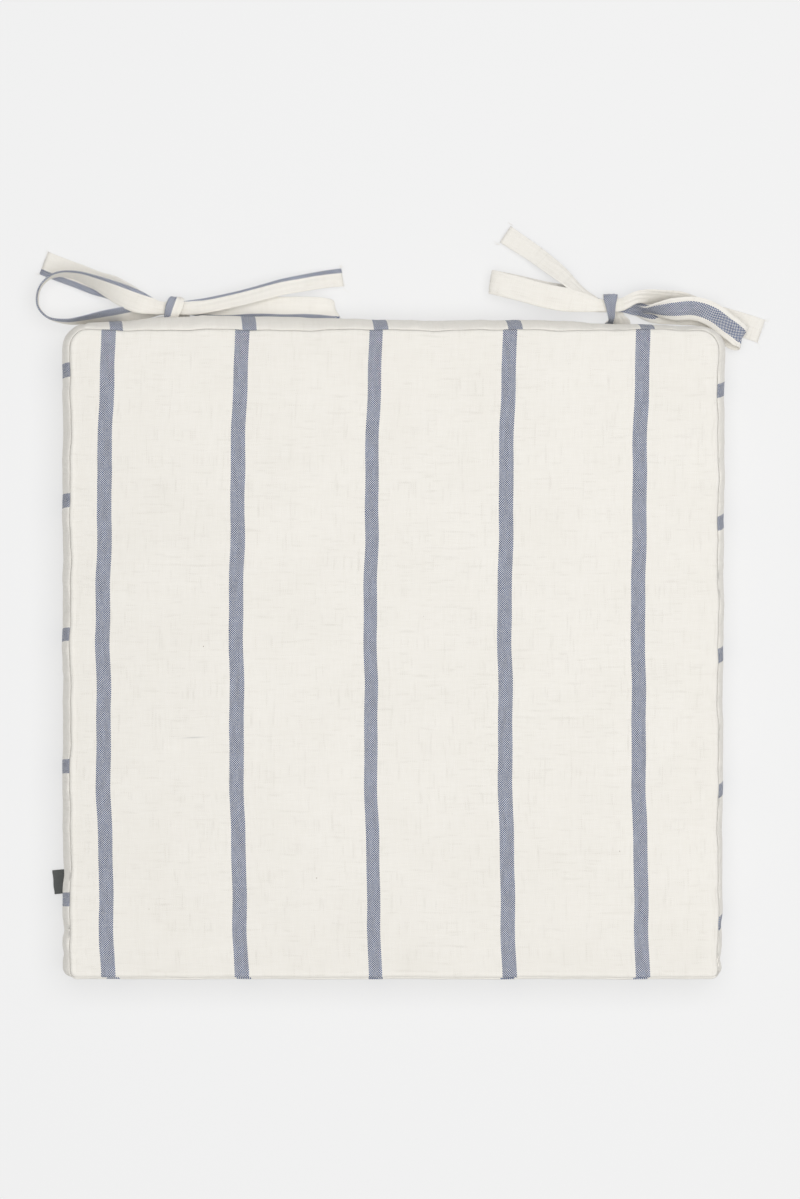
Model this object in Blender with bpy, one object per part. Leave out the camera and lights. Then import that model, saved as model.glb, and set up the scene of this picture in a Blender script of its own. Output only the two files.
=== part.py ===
"""A chair seat pad: a boxed cushion with a zipped cover and two pairs of ties knotted in bows.

Metres. +X is the sitter's right, +Y the tied back edge and +Z up. The origin is the middle of the
flat underside, where the pad rests.
"""

import bmesh
import bpy
import numpy as np
from math import cos, pi, radians, sin
from mathutils import Vector

# The cover
PAD_WIDTH = 0.400
PAD_DEPTH = 0.400
BACK_CORNER_RADIUS = 0.018
FRONT_CORNER_RADIUS = 0.009
BOXING_HEIGHT = 0.034
BOXING_BULGE = 0.0055
TOP_CROWN = 0.0030
CLOTH = 0.0012
SEAM_GAP = 0.0003
CORNER_STEPS = 6
CROWN_INSETS = (0.0, 0.004, 0.012, 0.028, 0.055, 0.095, 0.140)

# The filling
WADDING_BOTTOM = 0.0020
WADDING_TOP_EDGE = 0.0024
WADDING_INSET = 0.0040
FOAM_CLEARANCE = 0.0006

# The zip in the lower back seam, between the ties
ZIP_LENGTH = 0.214
ZIP_STAND = 0.0014
ZIP_INSET = 0.0005
ZIP_END_MARGIN = 0.0090
COIL_WIDTH = 0.0018
COIL_THICKNESS = 0.0016
CHAIN_GAP = 0.0008
TAPE_THICKNESS = 0.0005
TAPE_RISE = 0.0170
TAPE_CLEARANCE = 0.0006
OPENING_CLEARANCE = 0.0008
OPENING_MARGIN = 0.0010
RUNNING_CLEARANCE = 0.00025
POST_CLEARANCE = 0.00015

SLIDER_LENGTH = 0.0110
SLIDER_LIP = 0.00095
SLIDER_PLATE = 0.0008
POST_LENGTH = 0.0020
POST_SETBACK = 0.0010
SLIDER_END_CLEARANCE = 0.0008
BRIDGE_LENGTH = 0.0080
BRIDGE_WIDTH = 0.0014
BRIDGE_THICKNESS = 0.0006
PIVOT_BAR = 0.0008
PULLER_LENGTH = 0.0124
PULLER_ARM = 0.0008
EYE_CLEARANCE = 0.0010
EYE_SIDE_CLEARANCE = 0.0011
STOP_LENGTH = 0.0024
STOP_WALL = 0.0003

# The ties and the label
TIE_WIDTH = 0.0150
TIE_THICKNESS = 0.0014
TIE_BUNCHING = 0.060
TIE_SAMPLES = 2
LABEL_LENGTH = 0.0170
LABEL_REACH = 0.0120
LABEL_THICKNESS = 0.0010
LABEL_PLACE = -0.1435
LABEL_TURN = 5.0

# Every row of a tie's route is its centre, the direction of its width, and its width there.
# A tie starts at the lower back seam, passes the knot, makes its loop and ends in its tail.
TIE_ROUTES = {
    "tie_left_outer": [
        ((-0.1305, 0.2006, 0.0011), (1, 0, 0), 0.0150),
        ((-0.1305, 0.2021, 0.0011), (1, 0, 0), 0.0150),
        ((-0.1305, 0.2041, 0.0019), (1, 0, 0), 0.0130),
        ((-0.1308, 0.2060, 0.0044), (1, 0, 0), 0.0082),
        ((-0.1318, 0.2092, 0.0059), (0.9, 0.4, 0), 0.0072),
        ((-0.1344, 0.2121, 0.0061), (0.55, 0.83, 0), 0.0074),
        ((-0.1390, 0.2130, 0.0060), (0, 1, 0), 0.0080),
        ((-0.1460, 0.2130, 0.0059), (0, 1, 0), 0.0080),
        ((-0.1500, 0.2125, 0.0059), (0, 1, 0), 0.0090),
        ((-0.1570, 0.2112, 0.0060), (0, 1, 0), 0.0110),
        ((-0.1660, 0.2106, 0.0062), (0, 1, 0.08), 0.0130),
        ((-0.1730, 0.2104, 0.0061), (0, 1, 0.04), 0.0128),
        ((-0.1830, 0.2097, 0.0088), (0, 0.75, 0.65), 0.0150),
        ((-0.1920, 0.2078, 0.0108), (0, 0.4, 0.92), 0.0150),
        ((-0.2040, 0.2058, 0.0115), (0, 0.15, 1), 0.0150),
        ((-0.2155, 0.2072, 0.0115), (0, 0, 1), 0.0150),
        ((-0.2218, 0.2150, 0.0115), (0, 0, 1), 0.0150),
        ((-0.2202, 0.2262, 0.0116), (0, 0, 1), 0.0150),
        ((-0.2110, 0.2335, 0.0119), (0, 0.1, 1), 0.0150),
        ((-0.1970, 0.2330, 0.0127), (0, 0.35, 1), 0.0150),
        ((-0.1780, 0.2250, 0.0148), (0, 0.75, 0.65), 0.0150),
        ((-0.1600, 0.2170, 0.0130), (0, 1, 0.15), 0.0140),
        ((-0.1505, 0.2139, 0.0116), (0, 1, 0), 0.0100),
        ((-0.1445, 0.2130, 0.0112), (0, 1, 0), 0.0080),
        ((-0.1350, 0.2130, 0.0112), (0, 1, 0), 0.0080),
        ((-0.1265, 0.2138, 0.0119), (0, 1, 0), 0.0110),
        ((-0.1150, 0.2155, 0.0132), (0, 1, 0), 0.0150),
        ((-0.0980, 0.2192, 0.0134), (-0.1, 1, 0), 0.0150),
        ((-0.0800, 0.2240, 0.0130), (-0.15, 1, 0), 0.0150),
        ((-0.0690, 0.2268, 0.0122), (-0.15, 1, 0), 0.0150),
        ((-0.0590, 0.2290, 0.0098), (-0.15, 1, 0), 0.0150),
        ((-0.0470, 0.2308, 0.0052), (-0.1, 1, 0), 0.0150),
        ((-0.0330, 0.2323, 0.0020), (-0.05, 1, 0), 0.0150),
    ],
    "tie_left_inner": [
        ((-0.1462, 0.2006, 0.0011), (1, 0, 0), 0.0145),
        ((-0.1462, 0.2021, 0.0011), (1, 0, 0), 0.0145),
        ((-0.1460, 0.2040, 0.0016), (1, 0, 0), 0.0130),
        ((-0.1452, 0.2064, 0.0044), (1, 0, 0), 0.0075),
        ((-0.1436, 0.2070, 0.0090), (1, 0, 0), 0.0046),
        ((-0.1424, 0.2077, 0.0131), (1, 0, 0), 0.0042),
        ((-0.1410, 0.2130, 0.0140), (1, 0, 0), 0.0042),
        ((-0.1396, 0.2181, 0.0130), (1, 0, 0), 0.0042),
        ((-0.1386, 0.2189, 0.0090), (1, 0, 0), 0.0042),
        ((-0.1376, 0.2185, 0.0040), (1, 0.2, 0), 0.0042),
        ((-0.1360, 0.2150, 0.0033), (0.7, 0.7, 0), 0.0044),
        ((-0.1320, 0.2132, 0.0032), (0, 1, 0), 0.0050),
        ((-0.1230, 0.2130, 0.0031), (0, 1, 0), 0.0090),
        ((-0.1080, 0.2124, 0.0031), (0, 1, 0), 0.0150),
        ((-0.0850, 0.2125, 0.0031), (0, 1, 0), 0.0150),
        ((-0.0600, 0.2130, 0.0031), (0, 1, 0), 0.0150),
        ((-0.0440, 0.2128, 0.0034), (0, 1, 0), 0.0150),
        ((-0.0368, 0.2125, 0.0047), (0, 1, 0), 0.0150),
        ((-0.0346, 0.2122, 0.0068), (0, 1, 0), 0.0150),
        ((-0.0372, 0.2122, 0.0091), (0, 1, 0), 0.0150),
        ((-0.0460, 0.2124, 0.0101), (0, 1, 0), 0.0150),
        ((-0.0620, 0.2128, 0.0098), (0, 1, 0), 0.0150),
        ((-0.0850, 0.2128, 0.0093), (0, 1, 0), 0.0150),
        ((-0.1080, 0.2124, 0.0088), (0, 1, 0), 0.0150),
        ((-0.1240, 0.2130, 0.0086), (0, 1, 0), 0.0095),
        ((-0.1340, 0.2130, 0.0086), (0, 1, 0), 0.0080),
        ((-0.1460, 0.2130, 0.0086), (0, 1, 0), 0.0080),
        ((-0.1500, 0.2137, 0.0087), (0.1, 1, 0), 0.0090),
        ((-0.1570, 0.2164, 0.0090), (0.3, 1, 0), 0.0110),
        ((-0.1660, 0.2210, 0.0094), (0.35, 0.94, 0), 0.0140),
        ((-0.1760, 0.2261, 0.0078), (0.38, 0.93, 0), 0.0150),
        ((-0.1870, 0.2292, 0.0046), (0.38, 0.93, 0), 0.0150),
        ((-0.2000, 0.2344, 0.0027), (0.38, 0.93, 0), 0.0150),
        ((-0.2187, 0.2417, 0.0017), (0.42, 0.91, 0), 0.0150),
    ],
    "tie_right_outer": [
        ((0.1455, 0.2006, 0.0011), (1, 0, 0), 0.0150),
        ((0.1455, 0.2021, 0.0011), (1, 0, 0), 0.0150),
        ((0.1454, 0.2040, 0.0019), (1, 0, 0), 0.0130),
        ((0.1446, 0.2070, 0.0048), (1, 0, 0), 0.0082),
        ((0.1434, 0.2106, 0.0059), (0.9, 0.4, 0), 0.0072),
        ((0.1406, 0.2137, 0.0061), (0.55, 0.83, 0), 0.0074),
        ((0.1360, 0.2147, 0.0060), (0, 1, 0), 0.0080),
        ((0.1275, 0.2148, 0.0059), (0, 1, 0), 0.0080),
        ((0.1205, 0.2162, 0.0056), (0.15, 1, 0), 0.0100),
        ((0.1080, 0.2198, 0.0050), (0.2, 0.98, 0), 0.0150),
        ((0.0900, 0.2234, 0.0046), (0.2, 0.98, 0), 0.0150),
        ((0.0740, 0.2268, 0.0044), (0.2, 0.98, 0), 0.0150),
        ((0.0640, 0.2290, 0.0052), (0.2, 0.98, 0), 0.0150),
        ((0.0600, 0.2297, 0.0080), (0.15, 0.98, 0), 0.0150),
        ((0.0634, 0.2288, 0.0109), (0.15, 0.98, 0), 0.0150),
        ((0.0740, 0.2258, 0.0120), (0.2, 0.98, 0), 0.0150),
        ((0.0904, 0.2215, 0.0124), (0.2, 0.98, 0), 0.0150),
        ((0.1060, 0.2183, 0.0122), (0.2, 0.98, 0), 0.0150),
        ((0.1200, 0.2159, 0.0116), (0.1, 1, 0), 0.0110),
        ((0.1280, 0.2148, 0.0112), (0, 1, 0), 0.0080),
        ((0.1390, 0.2148, 0.0112), (0, 1, 0), 0.0080),
        ((0.1440, 0.2170, 0.0120), (-0.1, 1, 0.1), 0.0080),
        ((0.1490, 0.2218, 0.0134), (-0.1, 0.85, 0.5), 0.0095),
        ((0.1570, 0.2222, 0.0106), (-0.1, 0.42, 0.9), 0.0140),
        ((0.1660, 0.2222, 0.0088), (0.05, 0.3, 0.95), 0.0150),
        ((0.1750, 0.2232, 0.0062), (0.2, 0.75, 0.6), 0.0150),
        ((0.1820, 0.2204, 0.0037), (0.3, 0.9, 0.3), 0.0150),
        ((0.1880, 0.2178, 0.0023), (0.35, 0.92, 0.12), 0.0150),
        ((0.1970, 0.2138, 0.0019), (0.38, 0.92, 0.06), 0.0150),
        ((0.2110, 0.2077, 0.0013), (0.4, 0.92, 0), 0.0150),
        ((0.2289, 0.1993, 0.0013), (0.41, 0.91, 0), 0.0150),
    ],
    "tie_right_inner": [
        ((0.1296, 0.2006, 0.0011), (1, 0, 0), 0.0145),
        ((0.1296, 0.2021, 0.0011), (1, 0, 0), 0.0145),
        ((0.1296, 0.2040, 0.0016), (1, 0, 0), 0.0130),
        ((0.1298, 0.2074, 0.0042), (1, 0, 0), 0.0075),
        ((0.1306, 0.2088, 0.0090), (1, 0, 0), 0.0046),
        ((0.1316, 0.2094, 0.0131), (1, 0, 0), 0.0046),
        ((0.1330, 0.2148, 0.0140), (1, 0, 0), 0.0056),
        ((0.1344, 0.2202, 0.0131), (1, 0, 0), 0.0056),
        ((0.1356, 0.2207, 0.0090), (1, 0, 0), 0.0048),
        ((0.1368, 0.2203, 0.0040), (1, 0.2, 0), 0.0042),
        ((0.1384, 0.2168, 0.0033), (0.7, 0.7, 0), 0.0044),
        ((0.1424, 0.2150, 0.0032), (0, 1, 0), 0.0050),
        ((0.1510, 0.2130, 0.0034), (0.1, 1, 0), 0.0085),
        ((0.1620, 0.2106, 0.0040), (0.1, 1, 0.08), 0.0130),
        ((0.1780, 0.2103, 0.0048), (0.12, 1, 0.04), 0.0150),
        ((0.1920, 0.2091, 0.0050), (0.3, 0.95, 0), 0.0150),
        ((0.2030, 0.2028, 0.0046), (0.45, 0.9, 0), 0.0150),
        ((0.2110, 0.1982, 0.0054), (0.45, 0.9, 0), 0.0150),
        ((0.2150, 0.1960, 0.0082), (0.4, 0.92, 0), 0.0150),
        ((0.2122, 0.1984, 0.0110), (0.35, 0.94, 0), 0.0150),
        ((0.2060, 0.2028, 0.0118), (0.35, 0.94, 0.05), 0.0150),
        ((0.1970, 0.2090, 0.0124), (0.33, 0.93, 0.12), 0.0150),
        ((0.1860, 0.2127, 0.0127), (0.2, 0.95, 0.25), 0.0150),
        ((0.1740, 0.2124, 0.0126), (0.1, 0.92, 0.4), 0.0150),
        ((0.1640, 0.2120, 0.0126), (0, 0.6, 0.8), 0.0140),
        ((0.1560, 0.2118, 0.0112), (0, 0.3, 0.95), 0.0108),
        ((0.1500, 0.2120, 0.0094), (0, 0.85, 0.5), 0.0078),
        ((0.1450, 0.2137, 0.0086), (0, 1, 0), 0.0076),
        ((0.1395, 0.2147, 0.0086), (0, 1, 0), 0.0080),
        ((0.1280, 0.2149, 0.0086), (0, 1, 0), 0.0080),
        ((0.1225, 0.2180, 0.0086), (0.45, 0.9, 0), 0.0086),
        ((0.1150, 0.2246, 0.0085), (0.5, 0.85, 0), 0.0110),
        ((0.1046, 0.2350, 0.0074), (0.53, 0.85, 0), 0.0150),
        ((0.0950, 0.2422, 0.0050), (0.53, 0.85, 0), 0.0150),
        ((0.0840, 0.2496, 0.0030), (0.5, 0.87, 0), 0.0150),
        ((0.0690, 0.2595, 0.0017), (0.5, 0.87, 0), 0.0150),
    ],
}

# What follows from the sizes above
BOXING_BOTTOM = CLOTH + SEAM_GAP
BOXING_TOP = BOXING_BOTTOM + BOXING_HEIGHT
TOP_EDGE = BOXING_TOP + SEAM_GAP + CLOTH
FOAM_BOTTOM = CLOTH + WADDING_BOTTOM + 2 * SEAM_GAP
FOAM_TOP = BOXING_TOP - WADDING_TOP_EDGE - SEAM_GAP
ZIP_PLANE = PAD_DEPTH / 2 - ZIP_INSET
CHAIN_LENGTH = ZIP_LENGTH - 2 * ZIP_END_MARGIN
LIP_START = CHAIN_GAP / 2 + COIL_WIDTH + RUNNING_CLEARANCE
SLIDER_WIDTH = 2 * (LIP_START + SLIDER_LIP)
SLIDER_POST = CHAIN_GAP - 2 * POST_CLEARANCE
ZIP_HEIGHT = CLOTH + ZIP_STAND + SLIDER_WIDTH / 2
OPENING_HEIGHT = ZIP_HEIGHT + SLIDER_WIDTH / 2 + OPENING_CLEARANCE
PLATE_INNER = COIL_THICKNESS / 2 + RUNNING_CLEARANCE
PLATE_OUTER = PLATE_INNER + SLIDER_PLATE
PIVOT_OFFSET = PLATE_OUTER + SEAM_GAP + PIVOT_BAR / 2
SLIDER_REST = CHAIN_LENGTH / 2 - SLIDER_END_CLEARANCE - SLIDER_LENGTH / 2
PULLER_EYE = BRIDGE_LENGTH / 2 + EYE_CLEARANCE
PULLER_WIDTH = BRIDGE_WIDTH + 2 * (EYE_SIDE_CLEARANCE + PULLER_ARM)


def make_material(name, color, roughness=0.9, metallic=0.0):
    material = bpy.data.materials.new(name)
    material.use_nodes = True
    shader = material.node_tree.nodes["Principled BSDF"]
    shader.inputs["Base Color"].default_value = (*color, 1)
    shader.inputs["Roughness"].default_value = roughness
    shader.inputs["Metallic"].default_value = metallic
    return material


def add_object(name, mesh, material, smooth_angle=35):
    for polygon in mesh.polygons:
        polygon.use_smooth = True
    mesh.set_sharp_from_angle(angle=radians(smooth_angle))
    mesh.materials.append(material)
    result = bpy.data.objects.new(name, mesh)
    bpy.context.scene.collection.objects.link(result)
    return result


def loft(name, rings, looped=False):
    """A closed mesh through rings of equally many points. Its ends are capped, or meet when looped."""
    edit = bmesh.new()
    rows = [[edit.verts.new(point) for point in ring] for ring in rings]
    pairs = list(zip(rows, rows[1:]))
    if looped:
        pairs.append((rows[-1], rows[0]))
    else:
        edit.faces.new(rows[0])
        edit.faces.new(rows[-1])
    for low, high in pairs:
        for i in range(len(low)):
            j = (i + 1) % len(low)
            edit.faces.new((low[i], low[j], high[j], high[i]))
    bmesh.ops.recalc_face_normals(edit, faces=edit.faces)
    mesh = bpy.data.meshes.new(name)
    edit.to_mesh(mesh)
    edit.free()
    return mesh


def outline(grow, height):
    """The pad's plan outline at a height, moved outwards by grow: four sides and four round corners."""
    points = []
    corners = (
        (1, 1, BACK_CORNER_RADIUS, 0),
        (-1, 1, BACK_CORNER_RADIUS, 90),
        (-1, -1, FRONT_CORNER_RADIUS, 180),
        (1, -1, FRONT_CORNER_RADIUS, 270),
    )
    for side_x, side_y, radius, start in corners:
        around = max(radius + grow, radius * 0.2)
        middle_x = side_x * (PAD_WIDTH / 2 + grow - around)
        middle_y = side_y * (PAD_DEPTH / 2 + grow - around)
        for step in range(CORNER_STEPS + 1):
            turn = radians(start + 90 * step / CORNER_STEPS)
            points.append((middle_x + around * cos(turn), middle_y + around * sin(turn), height))
    return points


def boxing_offset(height):
    """How far the boxing's outer face stands out past the seams at a height."""
    share = min(max((height - BOXING_BOTTOM) / BOXING_HEIGHT, 0), 1)
    return BOXING_BULGE * sin(pi * share) ** 0.75


def crown_rise(inset):
    """How far the crowned top stands above its edge at a distance in from the seam."""
    half = min(PAD_WIDTH, PAD_DEPTH) / 2
    return TOP_CROWN * (1 - (1 - inset / half) ** 3)


def add_box(edit, low, high):
    corners = [
        edit.verts.new((x, y, z))
        for x in (low[0], high[0])
        for y in (low[1], high[1])
        for z in (low[2], high[2])
    ]
    sides = ((0, 1, 3, 2), (4, 6, 7, 5), (0, 4, 5, 1), (2, 3, 7, 6), (0, 2, 6, 4), (1, 5, 7, 3))
    for side in sides:
        edit.faces.new([corners[i] for i in side])


def box_mesh(name, low, high):
    edit = bmesh.new()
    add_box(edit, low, high)
    bmesh.ops.recalc_face_normals(edit, faces=edit.faces)
    mesh = bpy.data.meshes.new(name)
    edit.to_mesh(mesh)
    edit.free()
    return mesh


def add_helper(name, mesh, parent=None):
    """An object that only shapes another one."""
    helper = bpy.data.objects.new(name, mesh)
    bpy.context.scene.collection.objects.link(helper)
    helper.parent = parent
    helper.hide_render = True
    helper.display_type = "WIRE"
    return helper


def combine(target, helper, operation):
    modifier = target.modifiers.new(helper.name, "BOOLEAN")
    modifier.operation = operation
    modifier.solver = "EXACT"
    modifier.object = helper


def top_panel(material):
    """The crowned top cloth: the outer face from the middle to the seam, then the inner face back."""
    outer = [outline(-inset, TOP_EDGE + crown_rise(inset)) for inset in CROWN_INSETS]
    inner = [outline(-inset, TOP_EDGE - CLOTH + crown_rise(inset)) for inset in CROWN_INSETS]
    return add_object("top_panel", loft("top_panel", outer[::-1] + inner), material)


def bottom_panel(material):
    rings = [outline(0, 0), outline(0, CLOTH)]
    return add_object("bottom_panel", loft("bottom_panel", rings), material)


def boxing_strip(material):
    """The side band, sewn to both panels, with its lower edge cut back over the zip."""
    levels = [BOXING_BOTTOM + BOXING_HEIGHT * (1 - cos(pi * step / 8)) / 2 for step in range(9)]
    outer = [outline(boxing_offset(height), height) for height in levels]
    inner = [outline(boxing_offset(height) - CLOTH, height) for height in levels]
    strip = add_object("boxing_strip", loft("boxing_strip", outer + inner[::-1], True), material)
    reach = BOXING_BULGE + CLOTH
    low = (-ZIP_LENGTH / 2 - OPENING_MARGIN, PAD_DEPTH / 2 - 2 * reach, 0)
    high = (ZIP_LENGTH / 2 + OPENING_MARGIN, PAD_DEPTH / 2 + 2 * reach, OPENING_HEIGHT)
    combine(strip, add_helper("zip_opening", box_mesh("zip_opening", low, high)), "DIFFERENCE")
    return strip


def foam_core(material):
    """The foam slab, which fills the boxing and gives way behind the zip."""
    rise = FOAM_TOP - FOAM_BOTTOM
    levels = [FOAM_BOTTOM + rise * (1 - cos(pi * step / 6)) / 2 for step in range(7)]
    inward = CLOTH + FOAM_CLEARANCE
    rings = [outline(boxing_offset(height) - inward, height) for height in levels]
    core = add_object("foam_core", loft("foam_core", rings), material)
    behind = ZIP_PLANE - PLATE_OUTER - SEAM_GAP
    top = BOXING_BOTTOM + TAPE_RISE + SEAM_GAP
    low = (-ZIP_LENGTH / 2 - OPENING_MARGIN, behind, 0)
    high = (ZIP_LENGTH / 2 + OPENING_MARGIN, PAD_DEPTH / 2 + 2 * BOXING_BULGE, top)
    combine(core, add_helper("foam_relief", box_mesh("foam_relief", low, high)), "DIFFERENCE")
    return core


def wadding_top(material):
    """The soft layer that crowns the top, flat under and following the top cloth over."""
    insets = (WADDING_INSET, *CROWN_INSETS[2:])
    under_cloth = TOP_EDGE - CLOTH - SEAM_GAP
    upper = [outline(-inset, under_cloth + crown_rise(inset)) for inset in insets]
    lower = [outline(-inset, FOAM_TOP + SEAM_GAP) for inset in insets]
    return add_object("wadding_top", loft("wadding_top", upper[::-1] + lower), material)


def wadding_bottom(material):
    low = CLOTH + SEAM_GAP
    rings = [outline(-WADDING_INSET, low), outline(-WADDING_INSET, low + WADDING_BOTTOM)]
    return add_object("wadding_bottom", loft("wadding_bottom", rings), material)


def zip_tapes(material):
    """Both woven tapes. The lower one stands on the bottom panel, the upper one backs the boxing."""
    reach = COIL_WIDTH + CHAIN_GAP / 2 + SEAM_GAP
    half = TAPE_THICKNESS / 2
    ends = (-ZIP_LENGTH / 2, ZIP_LENGTH / 2)
    low = (ends[0], ZIP_PLANE - half, CLOTH + SEAM_GAP)
    high = (ends[1], ZIP_PLANE + half, ZIP_HEIGHT - reach)
    add_object("zip_tape_lower", box_mesh("zip_tape_lower", low, high), material)

    def behind_boxing(height):
        return PAD_DEPTH / 2 + boxing_offset(height) - CLOTH - TAPE_CLEARANCE - half

    start = ZIP_HEIGHT + reach
    lip = ZIP_HEIGHT + SLIDER_WIDTH / 2 + SEAM_GAP
    top = BOXING_BOTTOM + TAPE_RISE
    heights = [OPENING_HEIGHT + (top - OPENING_HEIGHT) * step / 3 for step in range(4)]
    line = [(ZIP_PLANE, start), (ZIP_PLANE, lip)] + [(behind_boxing(z), z) for z in heights]
    profile = [(y + half, z) for y, z in line] + [(y - half, z) for y, z in line[::-1]]
    rings = [[(x, y, z) for y, z in profile] for x in ends]
    add_object("zip_tape_upper", loft("zip_tape_upper", rings), material)


def zip_coils(material):
    """The two rows of coil, one on each tape, with room between them for the slider's post."""
    for name, side in (("zip_coil_lower", -1), ("zip_coil_upper", 1)):
        near = ZIP_HEIGHT + side * CHAIN_GAP / 2
        far = near + side * COIL_WIDTH
        low = (-CHAIN_LENGTH / 2, ZIP_PLANE - COIL_THICKNESS / 2, min(near, far))
        high = (CHAIN_LENGTH / 2, ZIP_PLANE + COIL_THICKNESS / 2, max(near, far))
        add_object(name, box_mesh(name, low, high), material)


def zip_stops(material):
    """The clamps that close the chain at both ends."""
    width = CHAIN_GAP / 2 + COIL_WIDTH
    depth = COIL_THICKNESS / 2 + STOP_WALL
    for name, side in (("zip_stop_left", -1), ("zip_stop_right", 1)):
        near = side * (CHAIN_LENGTH / 2 + SEAM_GAP)
        far = near + side * STOP_LENGTH
        low = (min(near, far), ZIP_PLANE - depth, ZIP_HEIGHT - width)
        high = (max(near, far), ZIP_PLANE + depth, ZIP_HEIGHT + width)
        add_object(name, box_mesh(name, low, high), material)


def zip_slider(material):
    """Two plates round the chain, joined by the post that parts it, with lips, and a bridge in front."""
    half = SLIDER_LENGTH / 2
    side = SLIDER_WIDTH / 2
    slot = TAPE_THICKNESS / 2 + RUNNING_CLEARANCE
    bridge = PIVOT_OFFSET + PIVOT_BAR / 2 + SEAM_GAP
    foot = BRIDGE_LENGTH / 2 - BRIDGE_THICKNESS
    sink = SLIDER_PLATE / 2
    front_plate = ((-half, PLATE_INNER, -side), (half, PLATE_OUTER, side))
    pieces = [((-half, -PLATE_OUTER, -side), (half, -PLATE_INNER, side))]
    post = half - POST_SETBACK
    pieces.append(((post - POST_LENGTH, -PLATE_INNER - sink, -SLIDER_POST / 2),
                   (post, PLATE_INNER + sink, SLIDER_POST / 2)))
    for near, far in ((LIP_START, side), (-side, -LIP_START)):
        pieces.append(((-half, slot, near), (half, PLATE_INNER + sink, far)))
        pieces.append(((-half, -PLATE_INNER - sink, near), (half, -slot, far)))
    for end in (-1, 1):
        near, far = sorted((end * foot, end * BRIDGE_LENGTH / 2))
        pieces.append(((near, PLATE_OUTER - sink, -BRIDGE_WIDTH / 2),
                       (far, bridge + sink, BRIDGE_WIDTH / 2)))
    pieces.append(((-BRIDGE_LENGTH / 2, bridge, -BRIDGE_WIDTH / 2),
                   (BRIDGE_LENGTH / 2, bridge + BRIDGE_THICKNESS, BRIDGE_WIDTH / 2)))
    slider = add_object("zip_slider", box_mesh("zip_slider", *front_plate), material)
    slider.location = (SLIDER_REST, ZIP_PLANE, ZIP_HEIGHT)
    for number, corners in enumerate(pieces):
        name = f"slider_block_{number}"
        combine(slider, add_helper(name, box_mesh(name, *corners), slider), "UNION")
    return slider


def zip_puller(material, slider):
    """The tab on its bar under the bridge. Its origin is the bar's axis, and it lies along the chain."""
    bar = PIVOT_BAR / 2
    side = PULLER_WIDTH / 2
    puller_mesh = box_mesh("zip_puller", (-PULLER_LENGTH, -bar, -side), (bar, bar, side))
    puller = add_object("zip_puller", puller_mesh, material)
    puller.parent = slider
    puller.location = (0, PIVOT_OFFSET, 0)
    eye_side = side - PULLER_ARM
    eye = box_mesh("puller_eye", (-PULLER_EYE, -3 * bar, -eye_side), (-bar, 3 * bar, eye_side))
    combine(puller, add_helper("puller_eye", eye, puller), "DIFFERENCE")
    return puller


def smooth_route(rows):
    """Centres, width directions and widths along a smooth curve through a route's rows."""
    table = np.array([[*centre, *across, width] for centre, across, width in rows])
    padded = np.vstack([2 * table[0] - table[1], table, 2 * table[-1] - table[-2]])
    found = []
    for first in range(len(table) - 1):
        a, b, c, d = padded[first:first + 4]
        for step in range(TIE_SAMPLES):
            t = step / TIE_SAMPLES
            found.append(0.5 * (2 * b + (c - a) * t + (2 * a - 5 * b + 4 * c - d) * t ** 2
                                + (3 * b - a - 3 * c + d) * t ** 3))
    return np.array([*found, table[-1]])


def tie(name, rows, material):
    """A flat tape swept along its route. Where it is gathered narrower it grows thicker."""
    samples = smooth_route(rows)
    rings = []
    for index, sample in enumerate(samples):
        ahead = samples[min(index + 1, len(samples) - 1)][:3]
        behind = samples[max(index - 1, 0)][:3]
        along = Vector(ahead - behind).normalized()
        across = Vector(sample[3:6])
        across = (across - across.dot(along) * along).normalized()
        width = min(sample[6], TIE_WIDTH)
        thickness = TIE_THICKNESS + TIE_BUNCHING * (TIE_WIDTH - width)
        wide = across * width / 2
        thick = along.cross(across) * thickness / 2
        centre = Vector(sample[:3])
        rings.append([centre + wide + thick, centre - wide + thick,
                      centre - wide - thick, centre + wide - thick])
    return add_object(name, loft(name, rings), material, 50)


def label_tab(material):
    """The folded woven tab held in the lower seam of the left side."""
    low = (-LABEL_REACH, -LABEL_LENGTH / 2, 0)
    high = (0, LABEL_LENGTH / 2, LABEL_THICKNESS)
    label = add_object("label_tab", box_mesh("label_tab", low, high), material)
    slant = LABEL_LENGTH / 2 * sin(radians(LABEL_TURN))
    label.location = (-PAD_WIDTH / 2 - SEAM_GAP - slant, LABEL_PLACE, SEAM_GAP)
    label.rotation_euler = (0, 0, radians(LABEL_TURN))
    return label


def build():
    for old in list(bpy.data.objects):
        bpy.data.objects.remove(old)
    cream = make_material("striped_linen", (0.83, 0.80, 0.74))
    foam = make_material("foam", (0.86, 0.82, 0.66), 0.95)
    wadding = make_material("wadding", (0.90, 0.90, 0.89), 0.95)
    tape = make_material("zip_tape", (0.80, 0.78, 0.73), 0.85)
    nylon = make_material("zip_nylon", (0.82, 0.80, 0.76), 0.45)
    metal = make_material("zip_metal", (0.62, 0.62, 0.61), 0.30, 1.0)
    charcoal = make_material("label_weave", (0.09, 0.10, 0.10), 0.85)

    top_panel(cream)
    bottom_panel(cream)
    boxing_strip(cream)
    foam_core(foam)
    wadding_top(wadding)
    wadding_bottom(wadding)
    zip_tapes(tape)
    zip_coils(nylon)
    zip_stops(metal)
    zip_puller(metal, zip_slider(metal))
    for name, rows in TIE_ROUTES.items():
        tie(name, rows, cream)
    label_tab(charcoal)


build()
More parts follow.
